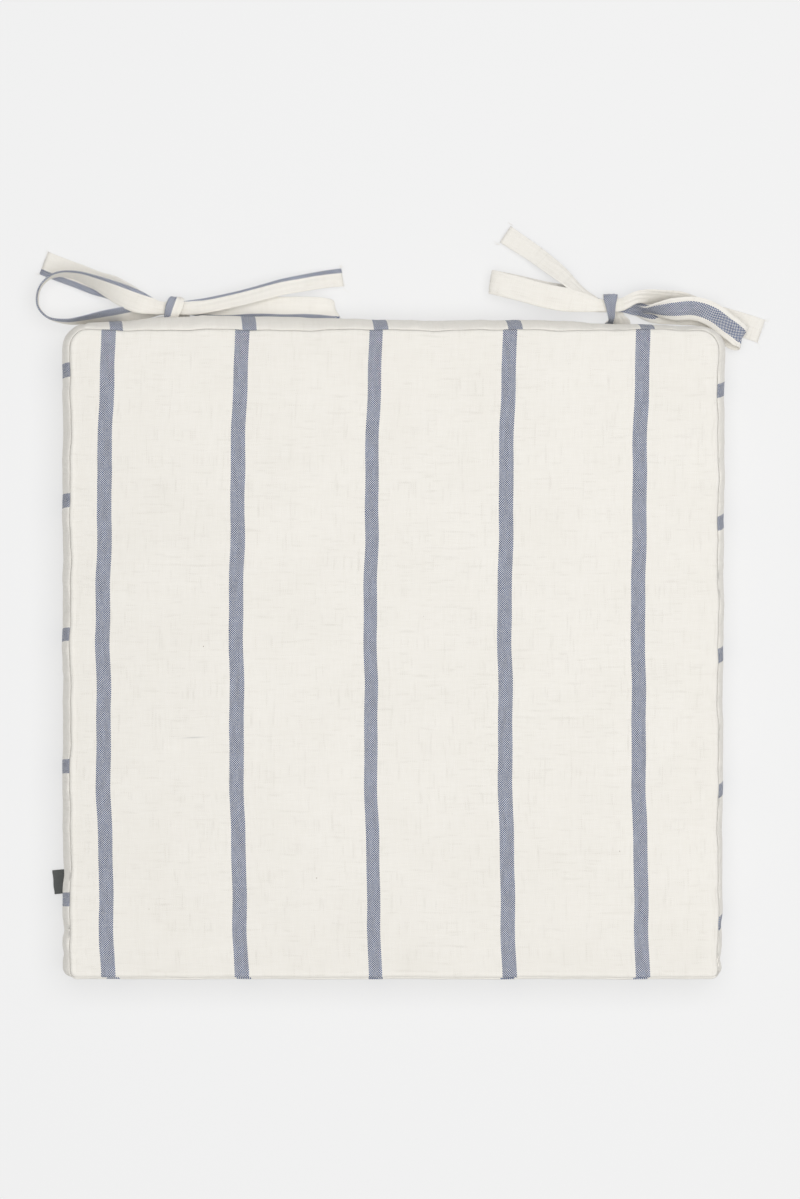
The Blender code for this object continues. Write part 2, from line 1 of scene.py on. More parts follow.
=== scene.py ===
# Chair seat pad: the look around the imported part. Metres, with the tied back edge towards +Y and +Z up.
import bpy
import numpy as np
from math import pi, radians
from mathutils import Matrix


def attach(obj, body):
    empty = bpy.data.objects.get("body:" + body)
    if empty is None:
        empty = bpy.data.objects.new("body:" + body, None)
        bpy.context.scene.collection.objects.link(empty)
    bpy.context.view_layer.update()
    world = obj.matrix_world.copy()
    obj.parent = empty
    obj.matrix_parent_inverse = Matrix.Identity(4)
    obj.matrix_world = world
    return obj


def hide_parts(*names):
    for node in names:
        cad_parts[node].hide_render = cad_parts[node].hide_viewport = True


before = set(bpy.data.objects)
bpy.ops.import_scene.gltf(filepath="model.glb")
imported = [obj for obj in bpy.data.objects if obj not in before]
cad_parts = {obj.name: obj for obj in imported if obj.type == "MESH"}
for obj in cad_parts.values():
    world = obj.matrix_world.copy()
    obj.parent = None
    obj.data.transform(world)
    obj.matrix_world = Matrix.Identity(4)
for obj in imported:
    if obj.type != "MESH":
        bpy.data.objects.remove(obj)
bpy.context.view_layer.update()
print("frame loaded")

scene = bpy.context.scene
scene.view_settings.view_transform = "Standard"

# The camera looks straight down on the pad.
cameraValues = {
    "lens": 240.0,
    "sensorWidth": 36.0,
    "frameWidth": 0.4936,           # the width of the pad's top plane that the frame holds
    "topPlane": 0.037,
    "lookAt": (0.0034, 0.0318),
}


def addCamera(values):
    data = bpy.data.cameras.new("overhead")
    data.sensor_fit = "HORIZONTAL"
    data.sensor_width = values["sensorWidth"]
    data.lens = values["lens"]
    data.clip_end = 20
    distance = values["frameWidth"] * values["lens"] / values["sensorWidth"]
    camera = bpy.data.objects.new("overhead", data)
    camera.location = (*values["lookAt"], values["topPlane"] + distance)
    scene.collection.objects.link(camera)
    scene.camera = camera


addCamera(cameraValues)
print("camera placed")


def surface(name, points, cloth, looped=False, capped=False, flipped=False):
    # Every cell of the rows x columns grid is one quad. cloth holds each corner's place on the flat
    # cloth, with one more column than points where the columns close into a ring.
    rows, columns = points.shape[:2]
    row = np.arange(rows - 1)[:, None]
    column = np.arange(columns if looped else columns - 1)[None, :]
    following = (column + 1) % columns
    quads = np.stack([row * columns + column, row * columns + following,
                      (row + 1) * columns + following, (row + 1) * columns + column], -1)
    width = cloth.shape[1]
    corners = np.stack([row * width + column, row * width + column + 1,
                        (row + 1) * width + column + 1, (row + 1) * width + column], -1)
    if flipped:
        quads, corners = quads[..., ::-1], corners[..., ::-1]
    quads, corners = quads.reshape(-1, 4), corners.reshape(-1, 4)
    loops, places = quads.ravel(), corners.ravel()
    starts = np.arange(0, len(loops), 4)
    if capped:
        first = np.arange(columns)[::-1]
        last = (rows - 1) * columns + np.arange(columns)
        starts = np.append(starts, [len(loops), len(loops) + columns])
        loops = np.concatenate([loops, first, last])
        places = np.concatenate([places, first, (rows - 1) * width + np.arange(columns)])
    mesh = bpy.data.meshes.new(name)
    mesh.vertices.add(rows * columns)
    mesh.vertices.foreach_set("co", points.astype(np.float32).ravel())
    mesh.loops.add(len(loops))
    mesh.loops.foreach_set("vertex_index", loops.astype(np.int32))
    mesh.polygons.add(len(starts))
    mesh.polygons.foreach_set("loop_start", starts.astype(np.int32))
    mesh.update(calc_edges=True)
    mesh.validate()
    layer = mesh.uv_layers.new(name="cloth")
    layer.data.foreach_set("uv", cloth.reshape(-1, 2)[places].astype(np.float32).ravel())
    mesh.shade_smooth()
    result = bpy.data.objects.new(name, mesh)
    scene.collection.objects.link(result)
    return result


def unit(vectors):
    return vectors / np.linalg.norm(vectors, axis=1, keepdims=True)


def lengthsAlong(path):
    # How far along a path each of its points is: the running sum of its steps.
    return np.concatenate([[0], np.cumsum(np.linalg.norm(np.diff(path, axis=0), axis=1))])


def resample(grid, places, looped=False):
    # Catmull-Rom along the first axis: each new row is a cubic blend of the four rows about its place.
    count = len(grid)
    start = np.floor(places).astype(int)
    if not looped:
        start = np.clip(start, 0, count - 2)
    part = (places - start).reshape(-1, *[1] * (grid.ndim - 1))
    a, b, c, d = (grid[(start + k) % count] if looped else grid[np.clip(start + k, 0, count - 1)]
                  for k in (-1, 0, 1, 2))
    return 0.5 * (2 * b + (c - a) * part + (2 * a - 5 * b + 4 * c - d) * part ** 2
                  + (3 * b - a - 3 * c + d) * part ** 3)


def joinMeshes(name, objects):
    # One object out of several, which keeps their cloth coordinates.
    bpy.ops.object.select_all(action="DESELECT")
    for item in objects:
        item.select_set(True)
    bpy.context.view_layer.objects.active = objects[0]
    bpy.ops.object.join()
    objects[0].name = name
    objects[0].data.name = name
    return objects[0]


def thicken(item, thickness):
    modifier = item.modifiers.new("clothThickness", "SOLIDIFY")
    modifier.thickness = thickness
    modifier.offset = -1


class Wire:
    # A shader socket: an expression on it adds the Math nodes that work it out.
    def __init__(self, tree, socket):
        self.tree, self.socket = tree, socket

    def math(self, operation, *others):
        return addNode(self.tree, "Math", {"operation": operation}, [self, *others])

    def __add__(self, other):
        return self.math("ADD", other)

    def __sub__(self, other):
        return self.math("SUBTRACT", other)

    def __rsub__(self, other):
        return addNode(self.tree, "Math", {"operation": "SUBTRACT"}, [other, self])

    def __mul__(self, other):
        return self.math("MULTIPLY", other)

    def __truediv__(self, other):
        return self.math("DIVIDE", other)

    __radd__, __rmul__ = __add__, __mul__

    def within(self, limit):
        return self.math("ABSOLUTE").math("LESS_THAN", limit)

    def centred(self):
        return self.math("FRACT") - 0.5

    def clamped(self):
        return self.math("MAXIMUM", 0.0).math("MINIMUM", 1.0)


def addNode(tree, kind, settings=(), inputs=(), output=0):
    # One node: its settings first, then the value or link of each socket, by name or number or in order.
    node = tree.nodes.new("ShaderNode" + kind)
    for key, value in dict(settings).items():
        setattr(node, key, value)
    pairs = inputs.items() if isinstance(inputs, dict) else enumerate(inputs)
    for key, value in pairs:
        if isinstance(value, Wire):
            tree.links.new(value.socket, node.inputs[key])
        else:
            node.inputs[key].default_value = value
    return Wire(tree, node.outputs[output])


def noiseAt(tree, x, y, detail=2.0, z=0.0):
    # A smooth random number from 0 to 1 at a point.
    place = addNode(tree, "CombineXYZ", {}, [x, y, z])
    return addNode(tree, "TexNoise", {}, {"Vector": place, "Scale": 1.0, "Detail": detail})


def clothPlace(tree):
    # The two coordinates of the flat cloth, u across the stripes and v along them.
    cloth = addNode(tree, "UVMap", {"uv_map": "cloth"})
    split = addNode(tree, "SeparateXYZ", {}, [cloth])
    return split, Wire(tree, split.socket.node.outputs[1])


def mixColour(tree, share, first, second):
    # A blend of two colours; the numbers are the colour sockets of a node that holds other kinds too.
    return addNode(tree, "Mix", {"data_type": "RGBA"}, {0: share, 6: first, 7: second}, 2)


def setInputs(node, values):
    for key, value in values.items():
        node.inputs[key].default_value = value


def newMaterial(name, roughness, specular, metallic=0.0, sheen=0.0):
    material = bpy.data.materials.new(name)
    material.use_nodes = True
    shader = material.node_tree.nodes["Principled BSDF"]
    setInputs(shader, {"Roughness": roughness, "Specular IOR Level": specular, "Metallic": metallic,
                       "Sheen Weight": sheen})
    return material, material.node_tree, shader


def finish(tree, shader, colour, height, distance, strength):
    # The colour goes to the shader, and the height becomes a bump of it, as deep as the distance.
    tree.links.new(colour.socket, shader.inputs["Base Color"])
    bump = addNode(tree, "Bump", {}, {"Strength": strength, "Distance": distance,
                                                "Height": height})
    tree.links.new(bump.socket, shader.inputs["Normal"])


linenValues = {
    "yarn": 0.00068,                # from one yarn to the next
    "warpWander": 1.0, "weftWander": 3.6,  # how far yarns stray from an even spacing, in yarns
    "stripeWidth": 0.0088,
    "cream": (0.874, 0.848, 0.794, 1),
    "creamDark": (0.806, 0.776, 0.712, 1),
    "blue": (0.028, 0.062, 0.165, 1),
    "blueLight": (0.105, 0.15, 0.28, 1),
    "fleck": (0.36, 0.31, 0.25, 1),
    "slub": (0.47, 0.47, 0.46, 1),
    "warpDrift": (0.019, 0.027, 3.0),   # a noise's reach along u and v, and which slice of it
    "weftDrift": (0.023, 0.017, 8.0),
    "shadeReach": 0.016, "broadReach": 0.05, "thickReach": 0.014, "patchReach": 0.012,
    "shadeGain": 1.5, "broadGain": 0.6, "slubGain": 0.45, "creamMiddle": 0.3,
    "blueGain": 2.0, "patchGain": 2.6, "blueMiddle": 0.42,
    "thickOver": 0.66, "thickGain": 9,  # only the thickest places of a yarn become slubs
    "beadAcross": 4.5, "beadAlong": 6.4, "beadGain": 3.5,  # how a white crossing fills its cell
    "fleckCell": (0.017, 0.021), "fleckSize": 0.02, "fleckRare": 0.8, "fleckShare": 0.75,
    "markLength": 0.006, "markWidth": 0.00042, "markSlant": 0.05, "markShare": 0.55,
    "bump": 0.00012, "slubRise": 0.7,
}


def stripedLinen(name, stripePitch, slubAt=None):
    # Plain weave on the cloth's own coordinates: yarns cross over in turn, warp yarns within a stripe are
    # blue, and each yarn's shade is a noise stretched along it. The height is one arch for each crossing.
    values = linenValues
    material, tree, shader = newMaterial(name, 0.88, 0.18, sheen=0.08)
    u, v = clothPlace(tree)

    def drift(reachU, reachV, layer):
        return noiseAt(tree, u / reachU, v / reachV, 1.0, layer) - 0.5

    across = u / values["yarn"] + drift(*values["warpDrift"]) * values["warpWander"]
    along = v / values["yarn"] + drift(*values["weftDrift"]) * values["weftWander"]
    warp, weft = across.math("FLOOR"), along.math("FLOOR")
    over = (warp + weft).math("PINGPONG", 1.0)
    under = 1 - over
    fu, fv = across.centred(), along.centred()

    # Each yarn has its own row of a noise, at its number times a step, so neighbours differ.
    warpShade = noiseAt(tree, warp * 7.31, v / values["shadeReach"])
    weftShade = noiseAt(tree, u / values["shadeReach"], weft * 5.77)
    broad = noiseAt(tree, u / values["broadReach"], v / values["broadReach"], 1.0)
    shade = over * warpShade + under * weftShade
    thick, thickWarp = (
        ((noiseAt(tree, *place, 0.0) - values["thickOver"]) * values["thickGain"]).clamped()
        for place in ((u / values["thickReach"], weft * 3.13), (warp * 2.71, v / values["shadeReach"])))
    slubs = under * thick + over * thickWarp
    share = ((shade - 0.5) * values["shadeGain"] + (broad - 0.5) * values["broadGain"]
             + values["creamMiddle"] + slubs * values["slubGain"])
    cream = mixColour(tree, share.clamped(), values["cream"], values["creamDark"])

    stripe = ((warp + 0.5) * (values["yarn"] / stripePitch) + 0.5).centred().within(
        values["stripeWidth"] / stripePitch / 2)
    acrossBead, alongBead = fu * fu * values["beadAcross"], fv * fv * values["beadAlong"]
    bead = (1 - acrossBead * acrossBead - alongBead * alongBead) * values["beadGain"]
    weftShows = under * bead.clamped()
    patch = noiseAt(tree, warp * 0.31, v / values["patchReach"], 3.0, 5.0)
    blueShade = ((warpShade - 0.5) * values["blueGain"] + (patch - 0.5) * values["patchGain"]
                 + values["blueMiddle"])
    blue = mixColour(tree, blueShade.clamped(), values["blue"], values["blueLight"])
    colour = mixColour(tree, stripe * (1 - weftShows), cream, blue)

    fleckU, fleckV = values["fleckCell"]
    cells = addNode(tree, "CombineXYZ", {}, [u / fleckU, v / fleckV, 0.0])
    spots = addNode(tree, "TexVoronoi", {}, {"Vector": cells, "Scale": 1.0})
    pick = Wire(tree, spots.socket.node.outputs[1])
    chosen = addNode(tree, "SeparateColor", {}, [pick])
    flecks = spots.math("LESS_THAN", values["fleckSize"]) * chosen.math("GREATER_THAN", values["fleckRare"])
    colour = mixColour(tree, flecks * values["fleckShare"], colour, values["fleck"])
    if slubAt:
        away = (u - slubAt[0]) / values["markLength"]
        off = (v - slubAt[1] - (u - slubAt[0]) * values["markSlant"]) / values["markWidth"]
        mark = (0 - (away * away + off * off)).math("EXPONENT")
        colour = mixColour(tree, mark * values["markShare"], colour, values["slub"])

    archWarp = (1 - fu * fu * 4) * (fv * pi).math("COSINE")
    archWeft = (1 - fv * fv * 4) * (fu * pi).math("COSINE")
    height = over * archWarp + under * archWeft + slubs * values["slubRise"]
    finish(tree, shader, colour, height, values["bump"], 0.8)
    return material


# The cover's plan is shared by its panels, its band, the foam and the simulation.
coverValues = {
    "half": 0.2,
    "backRadius": 0.0115,
    "frontRadius": 0.0045,
    "bottom": 0.0003,
    "top": 0.0368,
    "crown": 0.003,
    "bulge": {"back": 0.0058, "left": 0.005, "right": 0.0036, "front": 0.0014},  # before it is filled
    "bandLevels": 9,
    "leanRight": -0.0002,           # how far the top sits off the base
    "leanFront": 0.0018,
    "cloth": 0.0008,
    "stripePitch": 0.0826,
    "stripeBack": -0.0114,          # the middle stripe's place at the back and front edges
    "stripeBow": 0.0031,
}


def roundedPlan(x, y):
    # A square with rounded corners: in each corner square the point is drawn in so that squares about the
    # corner's centre become circles.
    values = coverValues
    radius = np.where(y > 0, values["backRadius"], values["frontRadius"])
    p = np.maximum(np.abs(x) - (values["half"] - radius), 0)
    q = np.maximum(np.abs(y) - (values["half"] - radius), 0)
    draw = np.maximum(p, q) / np.maximum(np.hypot(p, q), 1e-9)
    draw = np.where((p > 0) & (q > 0), draw, 1)
    return (np.sign(x) * (np.abs(x) - p + p * draw), np.sign(y) * (np.abs(y) - q + q * draw))


def edgeDistance(x, y):
    # How far in from the seam a point of the plan lies: by the nearer side, or round a corner's centre.
    values = coverValues
    radius = np.where(y > 0, values["backRadius"], values["frontRadius"])
    p, q = np.abs(x) - (values["half"] - radius), np.abs(y) - (values["half"] - radius)
    inCorner = radius - np.hypot(np.maximum(p, 0), np.maximum(q, 0))
    return np.where((p > 0) & (q > 0), inCorner, radius - np.maximum(p, q))


def spacing(fine, fineBand, coarse):
    # Places from one side to the other, close together near both edges.
    half = coverValues["half"]
    outer = np.arange(half - fineBand, half + fine / 2, fine)
    middle = np.linspace(-(half - fineBand), half - fineBand, int(2 * (half - fineBand) / coarse) + 1)
    return np.concatenate([-outer[::-1], middle[1:-1], outer])


def ringOf(grid):
    # A panel grid's border, clockwise from its back left corner.
    return np.concatenate([grid[-1, :-1], grid[:0:-1, -1], grid[0, :0:-1], grid[:-1, 0]])


coarsePlaces = spacing(0.002, 0.014, 0.005)


def coverStart():
    # The panels are flat with a low crown, a cubic of the way in. The band bulges between them by a power of
    # a sine, each column as deep as the sides that it faces.
    values = coverValues
    x, y = np.meshgrid(coarsePlaces, coarsePlaces)
    planX, planY = roundedPlan(x, y)
    inward = edgeDistance(planX, planY) / values["half"]
    rise = values["crown"] * (1 - (1 - np.clip(inward, 0, 1)) ** 3)
    top = np.stack([planX, planY, values["top"] + rise], -1)
    bottom = np.stack([planX, planY, np.full_like(planX, values["bottom"])], -1)
    border = ringOf(top)
    outward = np.roll(border, -1, 0) - np.roll(border, 1, 0)
    outward = unit(np.stack([-outward[:, 1], outward[:, 0], 0 * outward[:, 0]], -1))
    shares = np.linspace(0, 1, values["bandLevels"])[:, None]
    right, back = outward[:, 0], outward[:, 1]
    facing = {"back": back, "front": -back, "left": -right, "right": right}
    depth = sum(np.maximum(share, 0) * values["bulge"][side] for side, share in facing.items())
    rows = border[None] + outward[None] * (depth[None] * np.sin(pi * shares) ** 0.75)[..., None]
    rows[..., 2] = values["top"] + (values["bottom"] - values["top"]) * shares
    return top, bottom, rows, outward


fillingValues = {
    "cloth": {"quality": 7, "mass": 0.12, "tension_stiffness": 18, "compression_stiffness": 18,
              "shear_stiffness": 6, "bending_stiffness": 0.35, "air_damping": 2.0, "use_pressure": True,
              "uniform_pressure_force": 4.0, "pin_stiffness": 1.0},
    "ease": 0.03,                  # how much longer the cloth is than the seams that it is sewn into
    "insideEase": 0.25, "easeRings": 5, "easeStep": 0.15,
    "topPin": 0.05, "bottomPin": 0.6, "seamPin": 0.85,
    "mostMove": 0.006,
    "frames": 20,
}


def simulateCover(top, bottom, band):
    # The whole cover is one closed cloth: pressure fills it, the cloth next to the seams is a little longer
    # than they are, and pins hold the base and the seams. Each point's move is then limited.
    values = fillingValues
    side = len(coarsePlaces)
    cells = np.arange(side * side).reshape(side, side)
    topCells, bottomCells = cells, cells + side * side
    inner = band[1:-1]
    middle = 2 * side * side + np.arange(inner.shape[0] * inner.shape[1]).reshape(inner.shape[:2])
    rings = np.vstack([ringOf(topCells)[None], middle, ringOf(bottomCells)[None]])
    points = np.concatenate([top.reshape(-1, 3), bottom.reshape(-1, 3), inner.reshape(-1, 3)])

    def quadsOf(a, b, c, d):
        return np.stack([a, b, c, d], -1).reshape(-1, 4)

    after = np.roll(rings, -1, 1)
    faces = np.concatenate([
        quadsOf(topCells[:-1, :-1], topCells[:-1, 1:], topCells[1:, 1:], topCells[1:, :-1]),
        quadsOf(bottomCells[:-1, :-1], bottomCells[1:, :-1], bottomCells[1:, 1:], bottomCells[:-1, 1:]),
        quadsOf(rings[:-1], after[:-1], after[1:], rings[1:]),
    ])
    mesh = bpy.data.meshes.new("coverCloth")
    mesh.from_pydata(points.tolist(), [], faces.tolist())
    cover = bpy.data.objects.new("coverCloth", mesh)
    scene.collection.objects.link(cover)
    ease = cover.vertex_groups.new(name="ease")
    ease.add(rings[1:-1].ravel().tolist(), 1.0, "REPLACE")
    ease.add(topCells[1:-1, 1:-1].ravel().tolist(), values["insideEase"], "REPLACE")
    for inset in range(1, values["easeRings"] + 1):
        rim = ringOf(topCells[inset:-inset, inset:-inset])
        ease.add(rim.tolist(), 1.0 - values["easeStep"] * inset, "REPLACE")
    pins = cover.vertex_groups.new(name="pins")
    pins.add(topCells[1:-1, 1:-1].ravel().tolist(), values["topPin"], "REPLACE")
    pins.add(bottomCells.ravel().tolist(), values["bottomPin"], "REPLACE")
    pins.add(rings[0].tolist(), values["seamPin"], "REPLACE")

    modifier = cover.modifiers.new("filling", "CLOTH")
    settings = modifier.settings
    for key, value in values["cloth"].items():
        setattr(settings, key, value)
    settings.vertex_group_shrink = "ease"
    settings.shrink_min = 0.0
    settings.shrink_max = -values["ease"]
    settings.vertex_group_mass = "pins"
    settings.effector_weights.gravity = 0
    modifier.collision_settings.use_collision = False
    modifier.point_cache.frame_start = 1
    modifier.point_cache.frame_end = values["frames"]
    for number in range(1, values["frames"] + 1):
        scene.frame_set(number)
    evaluated = cover.evaluated_get(bpy.context.evaluated_depsgraph_get())
    moved = np.empty(len(points) * 3, np.float32)
    evaluated.data.vertices.foreach_get("co", moved)
    move = moved.reshape(-1, 3) - points
    size = np.linalg.norm(move, axis=1, keepdims=True)
    print(f"cover filled: moves of {size.mean() * 1000:.2f} mm, at most {size.max() * 1000:.2f} mm")
    points = points + move * np.minimum(1, values["mostMove"] / np.maximum(size, 1e-9))
    bpy.data.objects.remove(cover)
    scene.frame_set(1)
    return points[topCells], points[bottomCells], points[rings]


def sines(place, rows):
    # A sum of sines along a line: each row is a size, how fast it turns in radians a metre, and a shift.
    return sum(size * np.sin(place * turns + shift) for size, turns, shift in rows)


waveValues = {
    "sines": ((0.0004, 71, 0.5), (0.00028, 163, 2.0), (0.00016, 331, 4.0)), "fade": 0.012,
    "frontShare": 0.35,
    "sideShift": 0.7, "backShift": 0.3,  # so that opposite sides wander differently
}


def edgeWaves(x, y):
    # The seam line wanders: each side moves in and out by a few sines along it, fading away from the edge.
    values = waveValues
    fadeX = np.exp(-(coverValues["half"] - np.abs(x)) / values["fade"])
    fadeY = np.exp(-(coverValues["half"] - np.abs(y)) / values["fade"])
    calm = np.where(y < 0, values["frontShare"], 1)
    sideways = np.sign(x) * sines(y + values["sideShift"] * np.sign(x), values["sines"]) * fadeX
    lengthways = np.sign(y) * sines(x + values["backShift"] * np.sign(y), values["sines"]) * fadeY * calm
    return np.stack([sideways, lengthways, 0 * x], -1)


def leaned(points):
    # The soft pad sits a little sideways: every point moves with its height.
    values = coverValues
    share = points[..., 2:] / values["top"]
    return points + share * np.array([values["leanRight"], -values["leanFront"], 0])


reachValues = {
    "back": ((-0.2, 0.0036), (-0.165, 0.0058), (-0.147, 0.0078), (-0.12, 0.0086), (-0.064, 0.0082),
             (-0.03, 0.0068), (0.0, 0.006), (0.108, 0.0058), (0.122, 0.004), (0.145, 0.0036),
             (0.17, 0.0026), (0.2, 0.0022)),
    "right": ((-0.2, 0.003), (-0.1, 0.0036), (0.0, 0.004), (0.1, 0.0046), (0.2, 0.005)),
    "left": ((-0.2, 0.0056), (0.2, 0.0058)), "front": -0.0014,
    "least": 0.0008,                # a column filled less than this is scaled as if it stood out this far
}


def bandReach(ring, outward):
    # How far the boxing stands out past the straight line between its seams, blended by which way it faces.
    values = reachValues
    back, right, left = (np.array(values[side]).T for side in ("back", "right", "left"))
    ahead, side = np.maximum(outward[:, 1], 0) ** 2, outward[:, 0] ** 2
    alongSide = np.where(outward[:, 0] > 0, np.interp(ring[:, 1], *right), np.interp(ring[:, 1], *left))
    return (ahead * np.interp(ring[:, 0], *back) + side * alongSide
            + np.maximum(-outward[:, 1], 0) ** 2 * values["front"])


def reshaped(top, bottom, band, outward, startTop, startBottom):
    # The seams keep their plan, and each column of the boxing keeps its filled shape, scaled so that it
    # stands out as far as its side does: its own bulge times the side's reach over its greatest one.
    top, bottom = top.copy(), bottom.copy()
    top[..., :2], bottom[..., :2] = startTop[..., :2], startBottom[..., :2]
    share = np.linspace(0, 1, len(band))[:, None, None]
    filled = band - (band[:1] * (1 - share) + band[-1:] * share)
    out = (filled * outward[None]).sum(-1)
    most = np.maximum(out.max(0), reachValues["least"])
    scale = bandReach(ringOf(startTop), outward) / most
    chord = ringOf(top)[None] * (1 - share) + ringOf(bottom)[None] * share
    chord[..., 2] += filled[..., 2]
    out = np.where(scale[None] < 0, np.maximum(out, 0), out)
    return top, bottom, chord + outward[None] * (out * scale[None])[..., None]


topPoints, bottomPoints, bandPoints, bandOutward = coverStart()
startTop, startBottom = topPoints.copy(), bottomPoints.copy()
topPoints, bottomPoints, bandPoints = simulateCover(topPoints, bottomPoints, bandPoints)
topPoints, bottomPoints, bandPoints = reshaped(
    topPoints, bottomPoints, bandPoints, bandOutward, startTop, startBottom)
topPoints = topPoints + edgeWaves(startTop[..., 0], startTop[..., 1])
borderWaves = edgeWaves(*ringOf(startTop)[:, :2].T)
bandPoints = bandPoints + borderWaves[None] * np.linspace(1, 0, len(bandPoints))[:, None, None]
topPoints, bottomPoints, bandPoints = leaned(topPoints), leaned(bottomPoints), leaned(bandPoints)


puckerValues = {
    "gap": (0.007, 0.019), "width": (0.0012, 0.0032), "reach": (0.005, 0.018), "size": (0.25, 1.0),
    "lean": 0.35, "highest": 0.35,
}


def puckers(along, away, start, end, depth, seed):
    # Small folds that start at a seam: each is a Gaussian across the fold times a hump that rises from
    # nothing at the seam and fades along it.
    values = puckerValues
    random = np.random.default_rng(seed)
    total = np.zeros_like(along)
    place = start
    while place < end:
        width = random.uniform(*values["width"])
        reach = random.uniform(*values["reach"])
        size = depth * random.uniform(*values["size"]) * random.choice([-1.0, 1.0, 1.0])
        lean = random.uniform(-values["lean"], values["lean"])
        across = (along - place - away * lean) / width
        rise = away / (values["highest"] * reach)
        total += size * np.exp(-across ** 2) * rise * np.exp(1 - rise)
        place += random.uniform(*values["gap"])
    return total


panelValues = {
    "step": 0.0021, "fineStep": 0.0008, "fineBand": 0.0064,
    "seamDrop": 0.0013, "seamBand": 0.0014, "lowest": 0.0002,
    "ridge": 0.0006, "ridgeAt": 0.0018, "ridgeWidth": 0.0009,
    "pucker": 0.0003, "bottomPucker": 0.00022, "mostPucker": 0.0008, "cornerGap": 0.02,
    "wander": ((0.0003, 61, 0), (0.0002, 143, 1)),
}


finePlaces = spacing(panelValues["fineStep"], panelValues["fineBand"], panelValues["step"])
fineIndex = np.interp(finePlaces, coarsePlaces, np.arange(len(coarsePlaces)))


def panel(name, coarse, side, seed):
    # The simulated panel on a finer grid, with its rim rolled down into the seam and a low ridge inside it.
    values = panelValues
    fine = resample(coarse, fineIndex)
    fine = np.swapaxes(resample(np.swapaxes(fine, 0, 1), fineIndex), 0, 1)
    x, y = np.meshgrid(finePlaces, finePlaces)
    flatX, flatY = roundedPlan(x, y)
    away = np.maximum(edgeDistance(flatX, flatY), 0)
    drop = values["seamDrop"] * np.maximum(1 - away / values["seamBand"], 0) ** 2
    ridge = values["ridge"] * np.exp(-((away - values["ridgeAt"]) / values["ridgeWidth"]) ** 2)
    half, corner = coverValues["half"], values["cornerGap"]
    fold = np.zeros_like(x)
    depth = values["pucker"] if side > 0 else values["bottomPucker"]
    for number, (along, inward) in enumerate(((flatX, half - flatY), (flatX, half + flatY),
                                              (flatY, half - flatX), (flatY, half + flatX))):
        fold += puckers(along, inward, -half + corner, half - corner, depth, seed + number)
    fine[..., 2] += side * (ridge - drop + np.clip(fold, -values["mostPucker"], values["mostPucker"]))
    if side < 0:
        fine[..., 2] = np.maximum(fine[..., 2], values["lowest"])
    shift = coverValues["stripeBack"] - coverValues["stripeBow"] * (1 - (flatY / half) ** 2)
    cloth = np.stack([flatX - shift + sines(flatY, values["wander"]), flatY], -1)
    return surface(name, fine, cloth, flipped=side < 0)


topCover = panel("topCover", topPoints, 1, 11)
bottomCover = panel("bottomCover", bottomPoints, -1, 29)
print("panels made")

# The zip's opening is a share of the band's height that is left out. The marks are where the stripes stand
# along each side.
bandValues = {
    "rows": 34, "levels": 160, "evenShare": 0.4,
    "openingHalf": 0.108, "openingSoft": 0.0012, "openingShare": 0.262,
    "seamTuck": 0.0016, "seamBand": 0.085, "pucker": 0.00085, "mostIn": 0.0012, "mostOut": 0.0014,
    "quietBand": 0.06, "frontCalm": 0.12,
    "notches": ((1.228, 0.0036, 0.001), (1.214, 0.0028, 0.0008), (0.79, 0.003, 0.001),
                (0.768, 0.004, 0.0008), (1.262, 0.005, 0.0007)),
    "joinAt": 0.0085, "joinWidth": 0.0009, "joinDepth": 0.0009,
    "backMarks": (-0.1725, -0.0904, -0.0089, 0.0737, 0.1558),
    "rightMarks": (0.1635, 0.0814, 0.0, -0.0839, -0.1654),
    "frontMarks": (0.153, 0.0712, -0.0105, -0.0914, -0.1725),
    "leftMarks": (-0.153, -0.0703, 0.0111, 0.0938, 0.1746),
    "slant": 0.004, "slantFrom": 0.3, "clothStart": 0.5,
}


